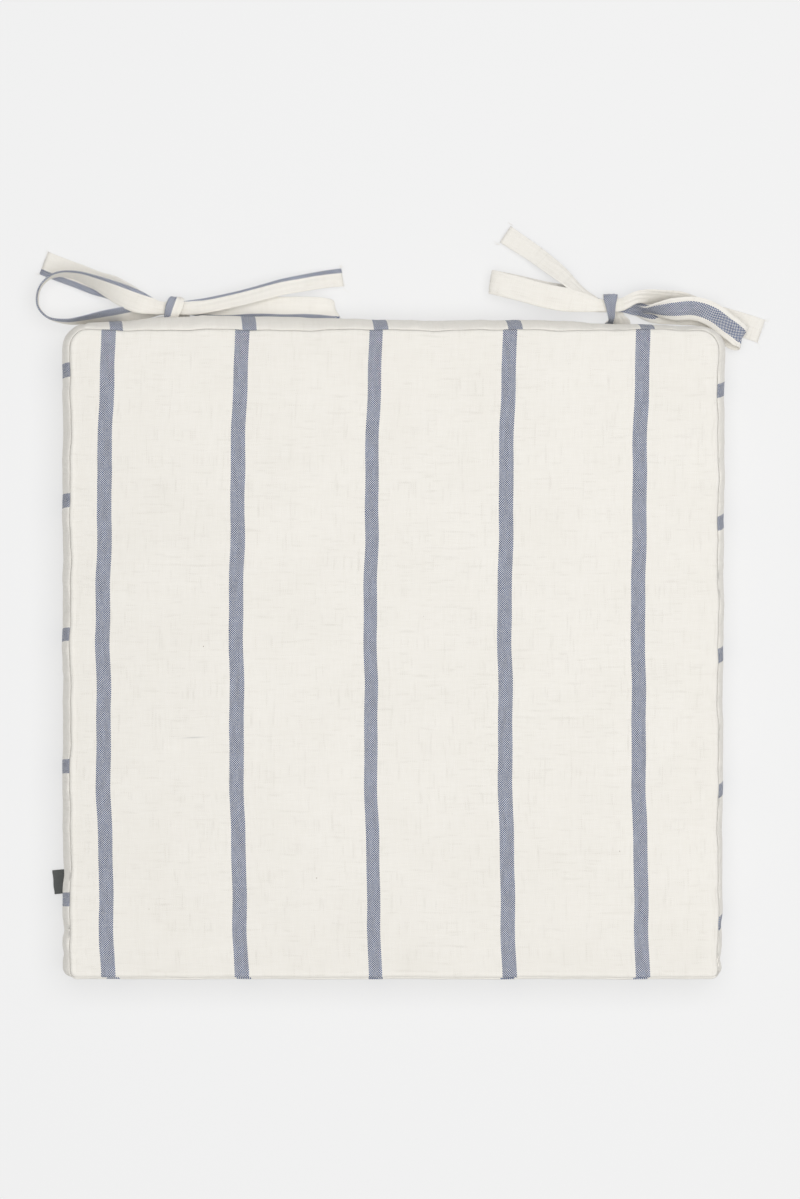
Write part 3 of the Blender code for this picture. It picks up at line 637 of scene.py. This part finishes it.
def boxing():
    # The band between the seams, from the join at the back left corner clockwise. Each column runs from the
    # top seam down; behind the zip it stops short, where the cloth is folded back.
    values, half, places = bandValues, coverValues["half"], finePlaces
    side = len(coarsePlaces) - 1
    around = np.concatenate([turn * side + fineIndex[:-1] for turn in range(4)])
    dense = np.swapaxes(resample(np.swapaxes(bandPoints, 0, 1), around, looped=True), 0, 1)
    levels = values["levels"]
    dense = resample(dense, np.linspace(0, len(bandPoints) - 1, levels + 1))
    outward = unit(resample(bandOutward, around, looped=True))

    count = len(places) - 1
    onBack = np.arange(4 * count) < count
    reach = np.abs(np.tile(places[:-1], 4))
    opening = np.clip((values["openingHalf"] + values["openingSoft"] - reach)
                      / values["openingSoft"], 0, 1) * onBack
    opening = opening ** 2 * (3 - 2 * opening)
    even = np.linspace(0, 1, values["rows"])
    share = (1 - values["evenShare"]) * (1 - np.cos(pi * even)) / 2 + values["evenShare"] * even
    share = share[:, None] * (1 - values["openingShare"] * opening[None])
    place = share * levels
    low = np.clip(np.floor(place).astype(int), 0, levels - 1)
    part = (place - low)[..., None]
    columns = np.arange(4 * count)[None]
    points = dense[low, columns] * (1 - part) + dense[low + 1, columns] * part

    # Where the marks stand along the band gives the cloth's own coordinate there, one pitch for each mark.
    marks = np.concatenate([
        np.array(values["backMarks"]) + half, 3 * half - np.array(values["rightMarks"]),
        5 * half - np.array(values["frontMarks"]), 7 * half + np.array(values["leftMarks"])])
    path = np.concatenate([*(turn * half + places[:-1] for turn in (1, 3, 5, 7)), [8 * half]])
    pitch = coverValues["stripePitch"]
    numbers = np.arange(len(marks)) * pitch
    marks = np.concatenate([[marks[0] - pitch], marks, [marks[-1] + pitch]])
    numbers = np.concatenate([[-pitch], numbers, [numbers[-1] + pitch]])
    lengthwise = np.interp(path, marks, numbers)
    height = coverValues["top"] - coverValues["bottom"]
    fullShare = np.concatenate([share, share[:, :1]], 1)
    cloth = np.stack([lengthwise[None] + values["slant"] * (fullShare - values["slantFrom"]),
                      fullShare * height + values["clothStart"]], -1)

    fold = np.zeros(points.shape[:2])
    along = path[:-1][None] + 0 * share
    for away, seed in ((share, 101), (1 - share, 202)):
        fold += puckers(along, away * height, 0.01, 8 * half, values["pucker"], seed)
    tuck = values["seamTuck"] * (np.maximum(1 - share / values["seamBand"], 0) ** 2)
    quiet = np.minimum(np.minimum(share, 1 - share) / values["quietBand"], 1)
    calm = 1 - (1 - values["frontCalm"]) * np.maximum(-outward[:, 1], 0)
    fold = np.clip(fold, -values["mostIn"], values["mostOut"]) * calm[None]
    for at, wide, deep in values["notches"]:
        fold -= deep * np.exp(-((along - at) / wide) ** 2)
    fold -= values["joinDepth"] * np.exp(-((along - values["joinAt"]) / values["joinWidth"]) ** 2)
    points = points + outward[None] * (fold * quiet)[..., None]
    points = points - np.array([0, 0, 1]) * tuck[..., None]
    return surface("boxingCover", points, cloth, looped=True)


boxingCover = boxing()
print("boxing made")

topCloth = stripedLinen("stripedLinenTop", coverValues["stripePitch"], slubAt=(-0.109, -0.051))
padCloth = stripedLinen("stripedLinen", coverValues["stripePitch"])
for cover, node, material in ((topCover, "top_panel", topCloth), (bottomCover, "bottom_panel", padCloth),
                              (boxingCover, "boxing_strip", padCloth)):
    cover.data.materials.append(material)
    thicken(cover, coverValues["cloth"])
    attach(cover, "cushion")
    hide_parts(node)

foamValues = {"inset": 0.0024, "top": 0.0326, "bottom": 0.004, "reliefHalf": 0.109, "reliefTop": 0.0188,
              "reliefDepth": 0.1972}


def foamSlab():
    # The boxing's own rings drawn in by the cloth's thickness and some air, closed above and below, and cut
    # back behind the zip.
    values = foamValues
    rings = bandPoints[1:-1] - bandOutward[None] * values["inset"]
    rings[..., 2] = np.linspace(values["top"], values["bottom"], len(rings))[:, None]
    behindZip = ((rings[..., 1] > 0.1) & (np.abs(rings[..., 0]) < values["reliefHalf"])
                 & (rings[..., 2] < values["reliefTop"]))
    rings[..., 1] = np.where(behindZip, np.minimum(rings[..., 1], values["reliefDepth"]), rings[..., 1])
    cloth = np.zeros((rings.shape[0], rings.shape[1] + 1, 2))
    return surface("foamCore", rings, cloth, looped=True, capped=True)


tieValues = {
    "width": 0.015, "thickness": 0.0014, "bunching": 0.06, "samples": 9,
    "faceSteps": 25, "hemAt": 0.7, "hemWidth": 0.045, "hemDepth": 0.46,
    "pleats": 1.5, "pleatDepth": 0.55, "pleatGain": 2.2, "sway": 0.00018, "swayLength": 0.037,
}

# Each row is the tape's centre and its width there, in millimetres, then the direction of the width where
# that changes.
tieRoutes = {
    "tie_left_outer": [
    (-130.5, 200.6, 1.1, 15, 1, 0, 0), (-130.5, 202.1, 1.1, 15), (-130.5, 204.1, 1.9, 13),
    (-130.8, 206, 4.4, 8.2), (-131.8, 209.2, 5.9, 7.2, 0.9, 0.4, 0),
    (-134.4, 212.1, 6.1, 7.4, 0.55, 0.83, 0), (-139, 213, 6, 8, 0, 1, 0), (-146, 213, 5.9, 8),
    (-150, 212.5, 5.9, 9), (-157, 211.2, 6.4, 10, 0, 0.95, 0.3), (-166, 209.8, 7.4, 12, 0, 0.75, 0.65),
    (-173, 208.6, 8.4, 13.5, 0, 0.62, 0.78), (-183, 207.2, 9.6, 15, 0, 0.48, 0.87),
    (-192.5, 205.8, 10.8, 15, 0, 0.3, 0.95), (-204, 204.6, 11.5, 15, 0, 0.15, 1),
    (-215.5, 207.2, 11.5, 15, 0, 0, 1), (-221.8, 215, 11.5, 15), (-220.2, 226.2, 11.6, 15),
    (-211, 233.5, 11.9, 15, 0, 0.1, 1), (-197, 233, 12.7, 15, 0, 0.35, 1),
    (-178, 225, 14.8, 15, 0, 0.75, 0.65), (-160, 217, 13, 14, 0, 1, 0.15),
    (-150.5, 213.9, 11.6, 10, 0, 1, 0), (-144.5, 213, 11.2, 8), (-135, 213, 11.2, 8),
    (-126.5, 213.4, 11.9, 9.2), (-115, 214.8, 13.2, 10, 0, 1, -0.3),
    (-98, 218.6, 13.4, 10.2, -0.1, 1, -0.35), (-80, 223.2, 13, 10.4, -0.15, 1, -0.35),
    (-69, 226.2, 12.2, 10.6, -0.15, 1, -0.3), (-59, 228.4, 9.8, 10.8, -0.15, 1, -0.25),
    (-47, 230.6, 5.6, 11, -0.15, 1, -0.2), (-32.5, 232.6, 2.6, 11.4, -0.12, 1, -0.1),
    ],
    "tie_left_inner": [
    (-146.2, 200.6, 1.1, 14.5, 1, 0, 0), (-146.2, 202.1, 1.1, 14.5), (-146, 204, 1.6, 13),
    (-145.2, 206.4, 4.4, 7.5), (-140.4, 207.2, 9, 6.4), (-139.2, 207.7, 13.1, 8.4),
    (-137.2, 213, 14.6, 10.4, 1, -0.15, 0), (-135.2, 218.3, 13.4, 9.6, 1, -0.2, 0),
    (-135, 219.3, 9, 6.6, 1, 0, 0), (-137.6, 218.5, 4, 4.2, 1, 0.2, 0),
    (-136, 215, 3.3, 4.4, 0.7, 0.7, 0), (-132, 213.2, 3.2, 5, 0, 1, 0), (-123, 213, 3.1, 9),
    (-108, 212.4, 3.1, 15), (-85, 212.5, 3.1, 15), (-60, 213, 3.1, 15),
    (-44, 212.4, 3.4, 15, -0.15, 1, 0), (-38.5, 211.2, 4.7, 13.8, -0.45, 0.9, 0),
    (-36.4, 210.6, 6.8, 13.2, -0.5, 0.87, 0), (-38.8, 211.2, 9.1, 13.8, -0.45, 0.9, 0),
    (-46.5, 212.2, 10.1, 15, -0.2, 1, 0), (-62, 212.8, 9.8, 15, 0, 1, 0), (-85, 212.8, 9.3, 15),
    (-108, 212.4, 8.8, 15), (-124, 213, 8.6, 9.5), (-134, 213, 8.6, 8), (-146, 213, 8.6, 8),
    (-150, 213.7, 8.7, 9, 0.1, 1, 0), (-157, 216.4, 9, 11, 0.3, 1, 0),
    (-166, 221, 9.4, 14, 0.35, 0.94, 0), (-176, 226.1, 7.8, 15, 0.38, 0.93, 0), (-187, 229.2, 4.6, 15),
    (-200, 234.4, 2.7, 15), (-218.7, 241.7, 1.7, 15, 0.42, 0.91, 0),
    ],
    "tie_right_outer": [
    (141.2, 200.3, 1.1, 13, 1, 0, 0), (141.2, 202.1, 1.4, 13), (141.2, 204.6, 3, 10.8, 1, 0.1, 0),
    (139.8, 207.6, 5.4, 7, 1, 0.2, 0), (138.8, 210.8, 6.1, 6.6, 0.9, 0.4, 0),
    (138.2, 213.4, 6.1, 7.4, 0.55, 0.83, 0), (134.5, 214.7, 6, 8, 0, 1, 0), (127.5, 214.8, 5.9, 8),
    (120.5, 216.2, 5.6, 10, 0.15, 1, 0), (108, 219.8, 5, 15, 0.2, 0.98, 0), (90, 223.4, 4.6, 15),
    (74, 226.8, 4.4, 15), (64, 229, 5.2, 15), (60, 229.7, 8, 15, 0.15, 0.98, 0),
    (63.4, 228.8, 10.9, 15), (74, 225.8, 12, 15, 0.2, 0.98, 0), (90.4, 221.5, 12.4, 15),
    (106, 218.3, 12.2, 15), (120, 215.9, 11.6, 11, 0.1, 1, 0), (128, 214.8, 11.2, 8, 0, 1, 0),
    (139, 214.8, 11.2, 8), (144, 216.4, 12, 7.6, -0.1, 1, 0.1), (150, 219.4, 12.4, 8, -0.1, 0.9, 0.35),
    (157.5, 220.4, 10.8, 11.2, -0.05, 0.7, 0.7), (166, 219.8, 8.6, 14.5, 0.05, 0.6, 0.78),
    (175, 218, 5.8, 15, 0.15, 0.75, 0.55), (183, 214.6, 3.4, 15, 0.25, 0.9, 0.25),
    (190, 211.6, 2.3, 15, 0.3, 0.94, 0.1), (198.5, 208.6, 1.8, 15, 0.32, 0.94, 0.03),
    (211.5, 204.6, 1.4, 15, 0.34, 0.94, 0), (228.7, 199, 1.4, 15),
    ],
    "tie_right_inner": [
    (133.5, 200.6, 1.1, 7, 1, 0, 0), (133.5, 202.1, 1.4, 7), (133.6, 203.4, 2.2, 6),
    (134, 204.4, 4.8, 4.5), (134.6, 205, 8.8, 3.4), (134.8, 207.4, 13, 4.2),
    (134.3, 214.8, 14.2, 6.6, 1, 0.1, 0), (134.1, 220.3, 13.4, 9.4), (134.4, 221.1, 9, 8.8, 1, 0, 0),
    (136.8, 220.3, 4, 4.2, 1, 0.2, 0), (138.4, 216.8, 3.3, 4.4, 0.7, 0.7, 0),
    (142.4, 215, 3.2, 5, 0, 1, 0), (151, 213, 3.4, 8.5, 0.1, 1, 0), (162, 210.6, 4, 13, 0.1, 1, 0.08),
    (178, 210.3, 4.8, 15, 0.12, 1, 0.04), (192, 209.1, 5, 15, 0.3, 0.95, 0),
    (204, 200.4, 4.6, 15, 0.5, 0.87, 0), (211.8, 194.6, 5.4, 15, 0.45, 0.9, 0),
    (215.8, 194.8, 8.2, 15, 0.4, 0.92, 0), (212.2, 198.4, 11, 15, 0.35, 0.94, 0),
    (206, 202.8, 11.8, 15, 0.35, 0.94, 0.05), (197, 209, 12.4, 15, 0.33, 0.93, 0.12),
    (186, 212.7, 12.7, 15, 0.2, 0.95, 0.25), (174, 212.4, 12.6, 15, 0.1, 0.92, 0.4),
    (164, 212, 12.6, 14, 0, 0.6, 0.8), (156, 211.8, 11.2, 10.8, 0, 0.3, 0.95),
    (150, 212, 9.4, 7.8, 0, 0.85, 0.5), (145, 213.7, 8.6, 7.6, 0, 1, 0), (139.5, 214.7, 8.6, 8),
    (128, 214.9, 8.6, 8), (122.5, 218.2, 9, 8, 0.3, 0.75, -0.5), (115, 224, 9.2, 9.6, 0.35, 0.6, -0.7),
    (104.6, 233.5, 8.4, 11.2, 0.45, 0.7, -0.5), (95, 241, 6.2, 11.4, 0.5, 0.8, -0.3),
    (84, 249.6, 3.4, 11.8, 0.5, 0.85, -0.2), (69, 259.5, 2.2, 12.4, 0.5, 0.85, -0.1),
    ],
}

# Where the stripe's middle lies round the tape, in metres from the middle of a face, at rows of its route.
tieStripes = {
    "tie_left_outer": ((0, 0.0), (5, 0.0), (8, 0.01), (13, 0.0094), (22, 0.0092), (26, 0.0074),
                       (32, 0.0068)),
    "tie_left_inner": ((0, 0.02), (9, 0.02), (11, 0.02), (14, 0.0228), (23, 0.0232), (26, 0.024),
                       (33, 0.0236)),
    "tie_right_outer": ((0, 0.0), (5, 0.0), (8, 0.015), (30, 0.015)),
    "tie_right_inner": ((0, 0.015), (9, 0.015), (11, 0.0), (13, 0.0), (15, 0.015), (28, 0.015),
                        (30, 0.0055), (32, 0.0024), (34, 0.0026), (35, 0.0038)),
}


def inMetres(route):
    # The rows as centre, direction and width; one without a direction keeps the one before.
    rows, across = [], None
    for x, y, z, width, *turned in route:
        across = turned or across
        rows.append(((x / 1000, y / 1000, z / 1000), across, width / 1000))
    return rows


def tieFrames(rows):
    # Catmull-Rom through the rows; the width's direction is squared to the route at every sample.
    table = np.array([[*centre, *across, width] for centre, across, width in rows])
    places = np.linspace(0, len(rows) - 1, (len(rows) - 1) * tieValues["samples"] + 1)
    found = resample(np.vstack([2 * table[:1] - table[1:2], table, 2 * table[-1:] - table[-2:-1]]),
                     places + 1)
    centre, across, width = found[:, :3], found[:, 3:6], np.minimum(found[:, 6], tieValues["width"])
    along = unit(np.gradient(centre, axis=0))
    across = unit(across - along * (across * along).sum(1, keepdims=True))
    return centre, along, across, width, places


def tieTape(name, rows, stripeRows):
    # A flat folded tape: both faces are arched, with a stitched groove near each edge, a Gaussian across the
    # face, and where it is gathered narrower it has lengthwise pleats, a cosine round it.
    values = tieValues
    centre, along, across, width, places = tieFrames(rows)
    length = lengthsAlong(centre)
    q = np.cos(np.linspace(0, pi, values["faceSteps"]))
    arch = (1 - np.abs(q) ** 5) ** 0.5
    hem = 1 - values["hemDepth"] * np.exp(-((np.abs(q) - values["hemAt"]) / values["hemWidth"]) ** 2)
    ringAcross = np.concatenate([q, -q[1:-1]])
    ringRise = np.concatenate([arch * hem, -(arch * hem)[1:-1]])
    gathered = np.clip(1 - width / values["width"], 0, 1)[:, None]
    folds = (0.5 - 0.5 * np.cos(ringAcross * 2 * pi * values["pleats"] + 1))[None]
    pleat = 1 - values["pleatDepth"] * np.clip(gathered * values["pleatGain"], 0, 1) * folds
    thickness = values["thickness"] + values["bunching"] * (values["width"] - width)
    wave = values["sway"] * np.sin(length * 2 * pi / values["swayLength"] + len(name))
    wave *= 1 - gathered[:, 0]
    normal = np.cross(along, across)
    offsetAcross = ringAcross[None] * (width / 2)[:, None] + wave[:, None]
    offsetRise = ringRise[None] * pleat * (thickness / 2)[:, None]
    points = (centre[:, None] + across[:, None] * offsetAcross[..., None]
              + normal[:, None] * offsetRise[..., None])
    half = (width / 2)[:, None]
    around = np.hstack([half * q[None], -values["width"] + half * q[None, 1:-1],
                        -values["width"] - half])
    keys = np.array(stripeRows)
    stripe = np.interp(places, keys[:, 0], keys[:, 1])
    cloth = np.stack([around - stripe[:, None], length[:, None] + 0 * around], -1)
    tape = surface(name, points, cloth, looped=True, capped=True)
    return tape, centre, (along, across, normal), length[-1]


frayValues = {
    "threads": 15, "cornerThreads": 5, "radius": 0.00011, "inside": 0.0009, "cornerInside": 0.0007,
    "spread": 0.46, "cornerAt": 0.485, "rise": 0.3, "length": (0.0012, 0.0024), "longer": (0.0006, 0.0022),
    "rows": 7, "sides": 5, "lowest": 0.0003, "clothAt": 0.006,
}


def frayedEnd(name, end, axes, seed):
    # Loose yarns at a raw cut: thin tubes that start inside the tape's end, along paths that bend by the
    # square of the way out.
    values, width = frayValues, tieValues["width"]
    random = np.random.default_rng(seed)
    along, across, normal = (axis[-1] for axis in axes)
    parts = []
    share = np.linspace(0, 1, values["rows"])[:, None]
    angle = np.arange(values["sides"]) * 2 * pi / values["sides"]
    for number in range(values["threads"]):
        corner = number >= values["threads"] - values["cornerThreads"]
        start = (end - along * values["inside"]
                 + across * random.uniform(-values["spread"], values["spread"]) * width
                 + normal * random.uniform(-values["rise"], values["rise"]) * tieValues["thickness"])
        if corner:
            start = (end - along * values["cornerInside"]
                     + across * width * values["cornerAt"] * random.choice([-1, 1]))
        length = random.uniform(*values["length"]) + (random.uniform(*values["longer"]) if corner else 0)
        aim = along + across * random.normal(0, 0.45) + normal * random.normal(0, 0.15)
        bend = across * random.normal(0, 0.5) + normal * random.normal(0, 0.2)
        path = start + aim * length * share + bend * length * share ** 2
        path[:, 2] = np.maximum(path[:, 2], values["lowest"])
        radius = values["radius"] * (1.1 - 0.5 * share)
        ring = (np.cos(angle)[:, None] * across + np.sin(angle)[:, None] * normal)[None]
        points = path[:, None] + ring * radius[..., None]
        place = np.stack(np.broadcast_arrays(values["clothAt"] + 0 * share, share * length), -1)
        cloth = np.broadcast_to(place, (values["rows"], values["sides"] + 1, 2))
        parts.append(surface(name, points, cloth, looped=True, capped=True, flipped=True))
    return joinMeshes(name, parts)


tieCloth = stripedLinen("tieLinen", 2 * tieValues["width"])
for number, (node, route) in enumerate(tieRoutes.items()):
    rows = inMetres(route)
    ending = node.title().replace("_", "")[3:]
    tape, centre, axes, length = tieTape("tie" + ending, rows, tieStripes[node])
    fray = frayedEnd("fray" + ending, centre[-1], axes, 400 + number)
    for item in (tape, fray):
        item.data.materials.append(tieCloth)
        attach(item, "cushion")
    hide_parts(node)
print("ties made")

labelValues = {
    "reach": 0.0116, "length": 0.015, "layer": 0.00036, "gap": 0.0003, "turn": radians(5.0),
    "at": (-0.201, -0.1435, 0.0009), "lift": 0.0011,
    "edgeWave": ((0.00012, 700, 0),), "lengthWave": ((0.00022, 420, 1),),
    # the label's dark colour is painted shade in the grooves of its weave, mixed with random tone
    "colour": (0.135, 0.142, 0.138, 1), "dark": (0.07, 0.074, 0.074, 1), "yarn": 0.0004,
}


def labelTab():
    # A folded strip: its outline is a hairpin in the x-z plane, carried along the label's length.
    values = labelValues
    half = values["layer"] / 2
    middle = values["gap"] / 2 + half
    fold = np.array([[-(values["reach"] - middle), 0.0]])
    out = np.linspace(0, 1, 14)[:, None] * fold
    turn = np.linspace(0, pi, 11)[1:-1, None]
    loop = fold + np.hstack([-np.sin(turn), -np.cos(turn)]) * middle
    line = np.vstack([out + [0, -middle], loop, out[::-1] + [0, middle]])
    ahead = unit(np.gradient(line, axis=0))
    side = np.stack([-ahead[:, 1], ahead[:, 0]], -1) * half
    ring = np.vstack([line + side, (line - side)[::-1]])
    along = np.linspace(-values["length"] / 2, values["length"] / 2, 28)[:, None]
    outShare = (-ring[:, 0] / values["reach"])[None]
    x = ring[:, 0][None] + sines(along, values["edgeWave"])
    z = ring[:, 1][None] + values["lift"] * outShare ** 2 + sines(along, values["lengthWave"]) * outShare
    y = along + 0 * x
    c, s = np.cos(values["turn"]), np.sin(values["turn"])
    points = np.stack([values["at"][0] + c * x - s * y, values["at"][1] + s * x + c * y,
                       values["at"][2] + z], -1)
    around = lengthsAlong(ring)
    around = np.append(around, around[-1] + values["layer"])
    cloth = np.stack(np.broadcast_arrays(around[None], along), -1)
    return surface("labelTab", points, cloth, looped=True, capped=True)


def wovenTape(name, colour, dark, yarn, onCloth):
    # A fine twill: a slanted rib and a cross rib repeat, each a cosine, and raise the surface. Where the
    # ribs are low
    #     the colour is painted darker, painted shade in the grooves, and a noise adds random tone. An
    #     imported node has no cloth coordinates, so its own x and z are used.
    material, tree, shader = newMaterial(name, 0.8, 0.25, sheen=0.05)
    if onCloth:
        u, v = clothPlace(tree)
    else:
        place = addNode(tree, "TexCoord", {}, [], 3)
        split = addNode(tree, "SeparateXYZ", {}, [place])
        u, v = split, Wire(tree, split.socket.node.outputs[2])
    rib = ((u + v) / yarn).centred()
    cross = (v / yarn).centred()
    height = (rib * pi).math("COSINE") * 0.7 + (cross * pi).math("COSINE") * 0.4
    # painted shade: the colour goes towards the dark one where the ribs are low, and the noise adds random
    # tone
    share = (1 - height) * 0.6 + noiseAt(tree, u / 0.004, v / 0.0006) * 0.3
    finish(tree, shader, mixColour(tree, share, colour, dark), height, 0.00006, 0.7)
    return material


label = labelTab()
label.data.materials.append(wovenTape("labelWeave", labelValues["colour"], labelValues["dark"],
                                      labelValues["yarn"], onCloth=True))
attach(label, "cushion")
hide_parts("label_tab")
print("label made")

zipValues = {
    "plane": 0.1995, "height": 0.006, "chainHalf": 0.098, "coilWidth": 0.0018, "coilThickness": 0.0016,
    "gap": 0.0008, "pitch": 0.00125, "wire": 0.00027, "stepsPerTurn": 10, "wireSides": 6, "endRoom": 0.0006,
    # the zip tape's darker colour is painted shade in the grooves of its weave, mixed with random tone
    "bevel": 0.00018, "nylon": (0.8, 0.77, 0.7, 1), "tapeShadeAndTone": (0.62, 0.59, 0.52, 1), "tapeYarn": 0.0006,
}


def zipCoil(name, side):
    # A flattened helix along the chain: its loops are ovals in the y-z plane, one pitch apart.
    values = zipValues
    turns = int((2 * values["chainHalf"] - values["endRoom"]) / values["pitch"])
    angle = np.linspace(0, turns * 2 * pi, turns * values["stepsPerTurn"] + 1)
    rise = values["coilWidth"] / 2 - values["wire"]
    reach = values["coilThickness"] / 2 - values["wire"]
    middle = values["height"] + side * (values["gap"] / 2 + values["coilWidth"] / 2)
    start = -turns * values["pitch"] / 2
    path = np.stack([start + values["pitch"] * angle / (2 * pi),
                     values["plane"] + reach * np.cos(angle),
                     middle + side * rise * np.sin(angle)], -1)
    along = unit(np.gradient(path, axis=0))
    outward = (path - [0, values["plane"], middle]) * [0, 1, 1]
    outward = unit(outward - along * (outward * along).sum(1, keepdims=True))
    across = np.cross(along, outward)
    turn = np.arange(values["wireSides"]) * 2 * pi / values["wireSides"]
    points = path[:, None] + values["wire"] * (outward[:, None] * np.cos(turn)[None, :, None]
                                               + across[:, None] * np.sin(turn)[None, :, None])
    cloth = np.zeros((len(path), values["wireSides"] + 1, 2))
    return surface(name, points, cloth, looped=True, capped=True, flipped=True)


def plainMaterial(name, colour, roughness, metallic=0.0, grain=0.00002):
    # One colour, broken up by a soft noise on the object's own coordinates.
    material, tree, shader = newMaterial(name, roughness, 0.4, metallic)
    place = addNode(tree, "TexCoord", {}, [], 3)
    noise = addNode(tree, "TexNoise", {}, {"Vector": place, "Scale": 900.0, "Detail": 3.0})
    dark = tuple(part * 0.8 for part in colour[:3]) + (1,)
    finish(tree, shader, mixColour(tree, noise, colour, dark), noise, grain, 0.3)
    return material


def roundedCopy(node, name):
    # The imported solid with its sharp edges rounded.
    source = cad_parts[node]
    item = source.copy()
    item.data = source.data.copy()
    for key in list(item.keys()):
        del item[key]
    item.name = name
    item.parent = None
    scene.collection.objects.link(item)
    bpy.ops.object.select_all(action="DESELECT")
    item.select_set(True)
    bpy.context.view_layer.objects.active = item
    bpy.ops.object.mode_set(mode="EDIT")
    bpy.ops.mesh.select_all(action="SELECT")
    bpy.ops.mesh.remove_doubles(threshold=0.00001)
    bpy.ops.mesh.dissolve_limited(angle_limit=radians(2))
    bpy.ops.object.mode_set(mode="OBJECT")
    bevel = item.modifiers.new("roundedEdges", "BEVEL")
    bevel.width = zipValues["bevel"]
    bevel.segments = 2
    bevel.limit_method = "ANGLE"
    item.data.materials.clear()
    return item


nylon = plainMaterial("zipNylon", zipValues["nylon"], 0.42)
metal = plainMaterial("zipMetal", (0.66, 0.65, 0.63, 1), 0.3, metallic=1.0)
for node, name, side in (("zip_coil_lower", "zipCoilLower", -1), ("zip_coil_upper", "zipCoilUpper", 1)):
    coil = zipCoil(name, side)
    coil.data.materials.append(nylon)
    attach(coil, "cushion")
    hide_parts(node)
for node, name, body in (("zip_stop_left", "zipStopLeft", "cushion"),
                         ("zip_stop_right", "zipStopRight", "cushion"),
                         ("zip_slider", "zipSlider", "slider"), ("zip_puller", "zipPuller", "puller")):
    item = roundedCopy(node, name)
    item.data.materials.append(metal)
    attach(item, body)
    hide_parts(node)
print("zip made")

foam = foamSlab()
foam.data.materials.append(plainMaterial("foam", (0.8, 0.74, 0.52, 1), 0.95, grain=0.0004))
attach(foam, "cushion")
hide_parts("foam_core")

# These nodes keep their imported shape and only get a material.
wadding = plainMaterial("wadding", (0.86, 0.86, 0.84, 1), 0.95, grain=0.0004)
zipTape = wovenTape("zipTape", zipValues["nylon"], zipValues["tapeShadeAndTone"], zipValues["tapeYarn"],
                    onCloth=False)
for nodes, material in ((("wadding_top", "wadding_bottom"), wadding),
                        (("zip_tape_lower", "zip_tape_upper"), zipTape)):
    for node in nodes:
        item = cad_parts[node]
        for place in range(len(item.material_slots)):
            item.material_slots[place].material = material

# The floor gives off part of its own white, and one large soft light stands above the back of the pad.
studioValues = {
    "floor": (0.32, 0.32, 0.32, 1), "floorGlow": 0.548, "floorSize": 60.0, "world": 0.45,
    "lightPower": 55.0, "lightSize": 2.6, "lightAt": (0.35, 0.15, 2.6),
}


def addStudio(values):
    mesh = bpy.data.meshes.new("floor")
    edge = values["floorSize"] / 2
    corners = [(-edge, -edge, 0), (edge, -edge, 0), (edge, edge, 0), (-edge, edge, 0)]
    mesh.from_pydata(corners, [], [(0, 1, 2, 3)])
    floor = bpy.data.objects.new("floor", mesh)
    scene.collection.objects.link(floor)
    material, tree, shader = newMaterial("floorPaper", 0.95, 0.0)
    setInputs(shader, {"Base Color": values["floor"], "Emission Color": (1, 1, 1, 1),
                       "Emission Strength": values["floorGlow"]})
    mesh.materials.append(material)
    world = bpy.data.worlds.new("studio")
    world.use_nodes = True
    setInputs(world.node_tree.nodes["Background"], {"Color": (1, 1, 1, 1), "Strength": values["world"]})
    scene.world = world
    light = bpy.data.lights.new("softbox", "AREA")
    light.energy = values["lightPower"]
    light.size = values["lightSize"]
    lamp = bpy.data.objects.new("softbox", light)
    lamp.location = values["lightAt"]
    x, y, z = values["lightAt"]
    lamp.rotation_euler = (-float(np.arctan2(y, z)), float(np.arctan2(x, z)), 0)
    scene.collection.objects.link(lamp)


addStudio(studioValues)
print("studio set")
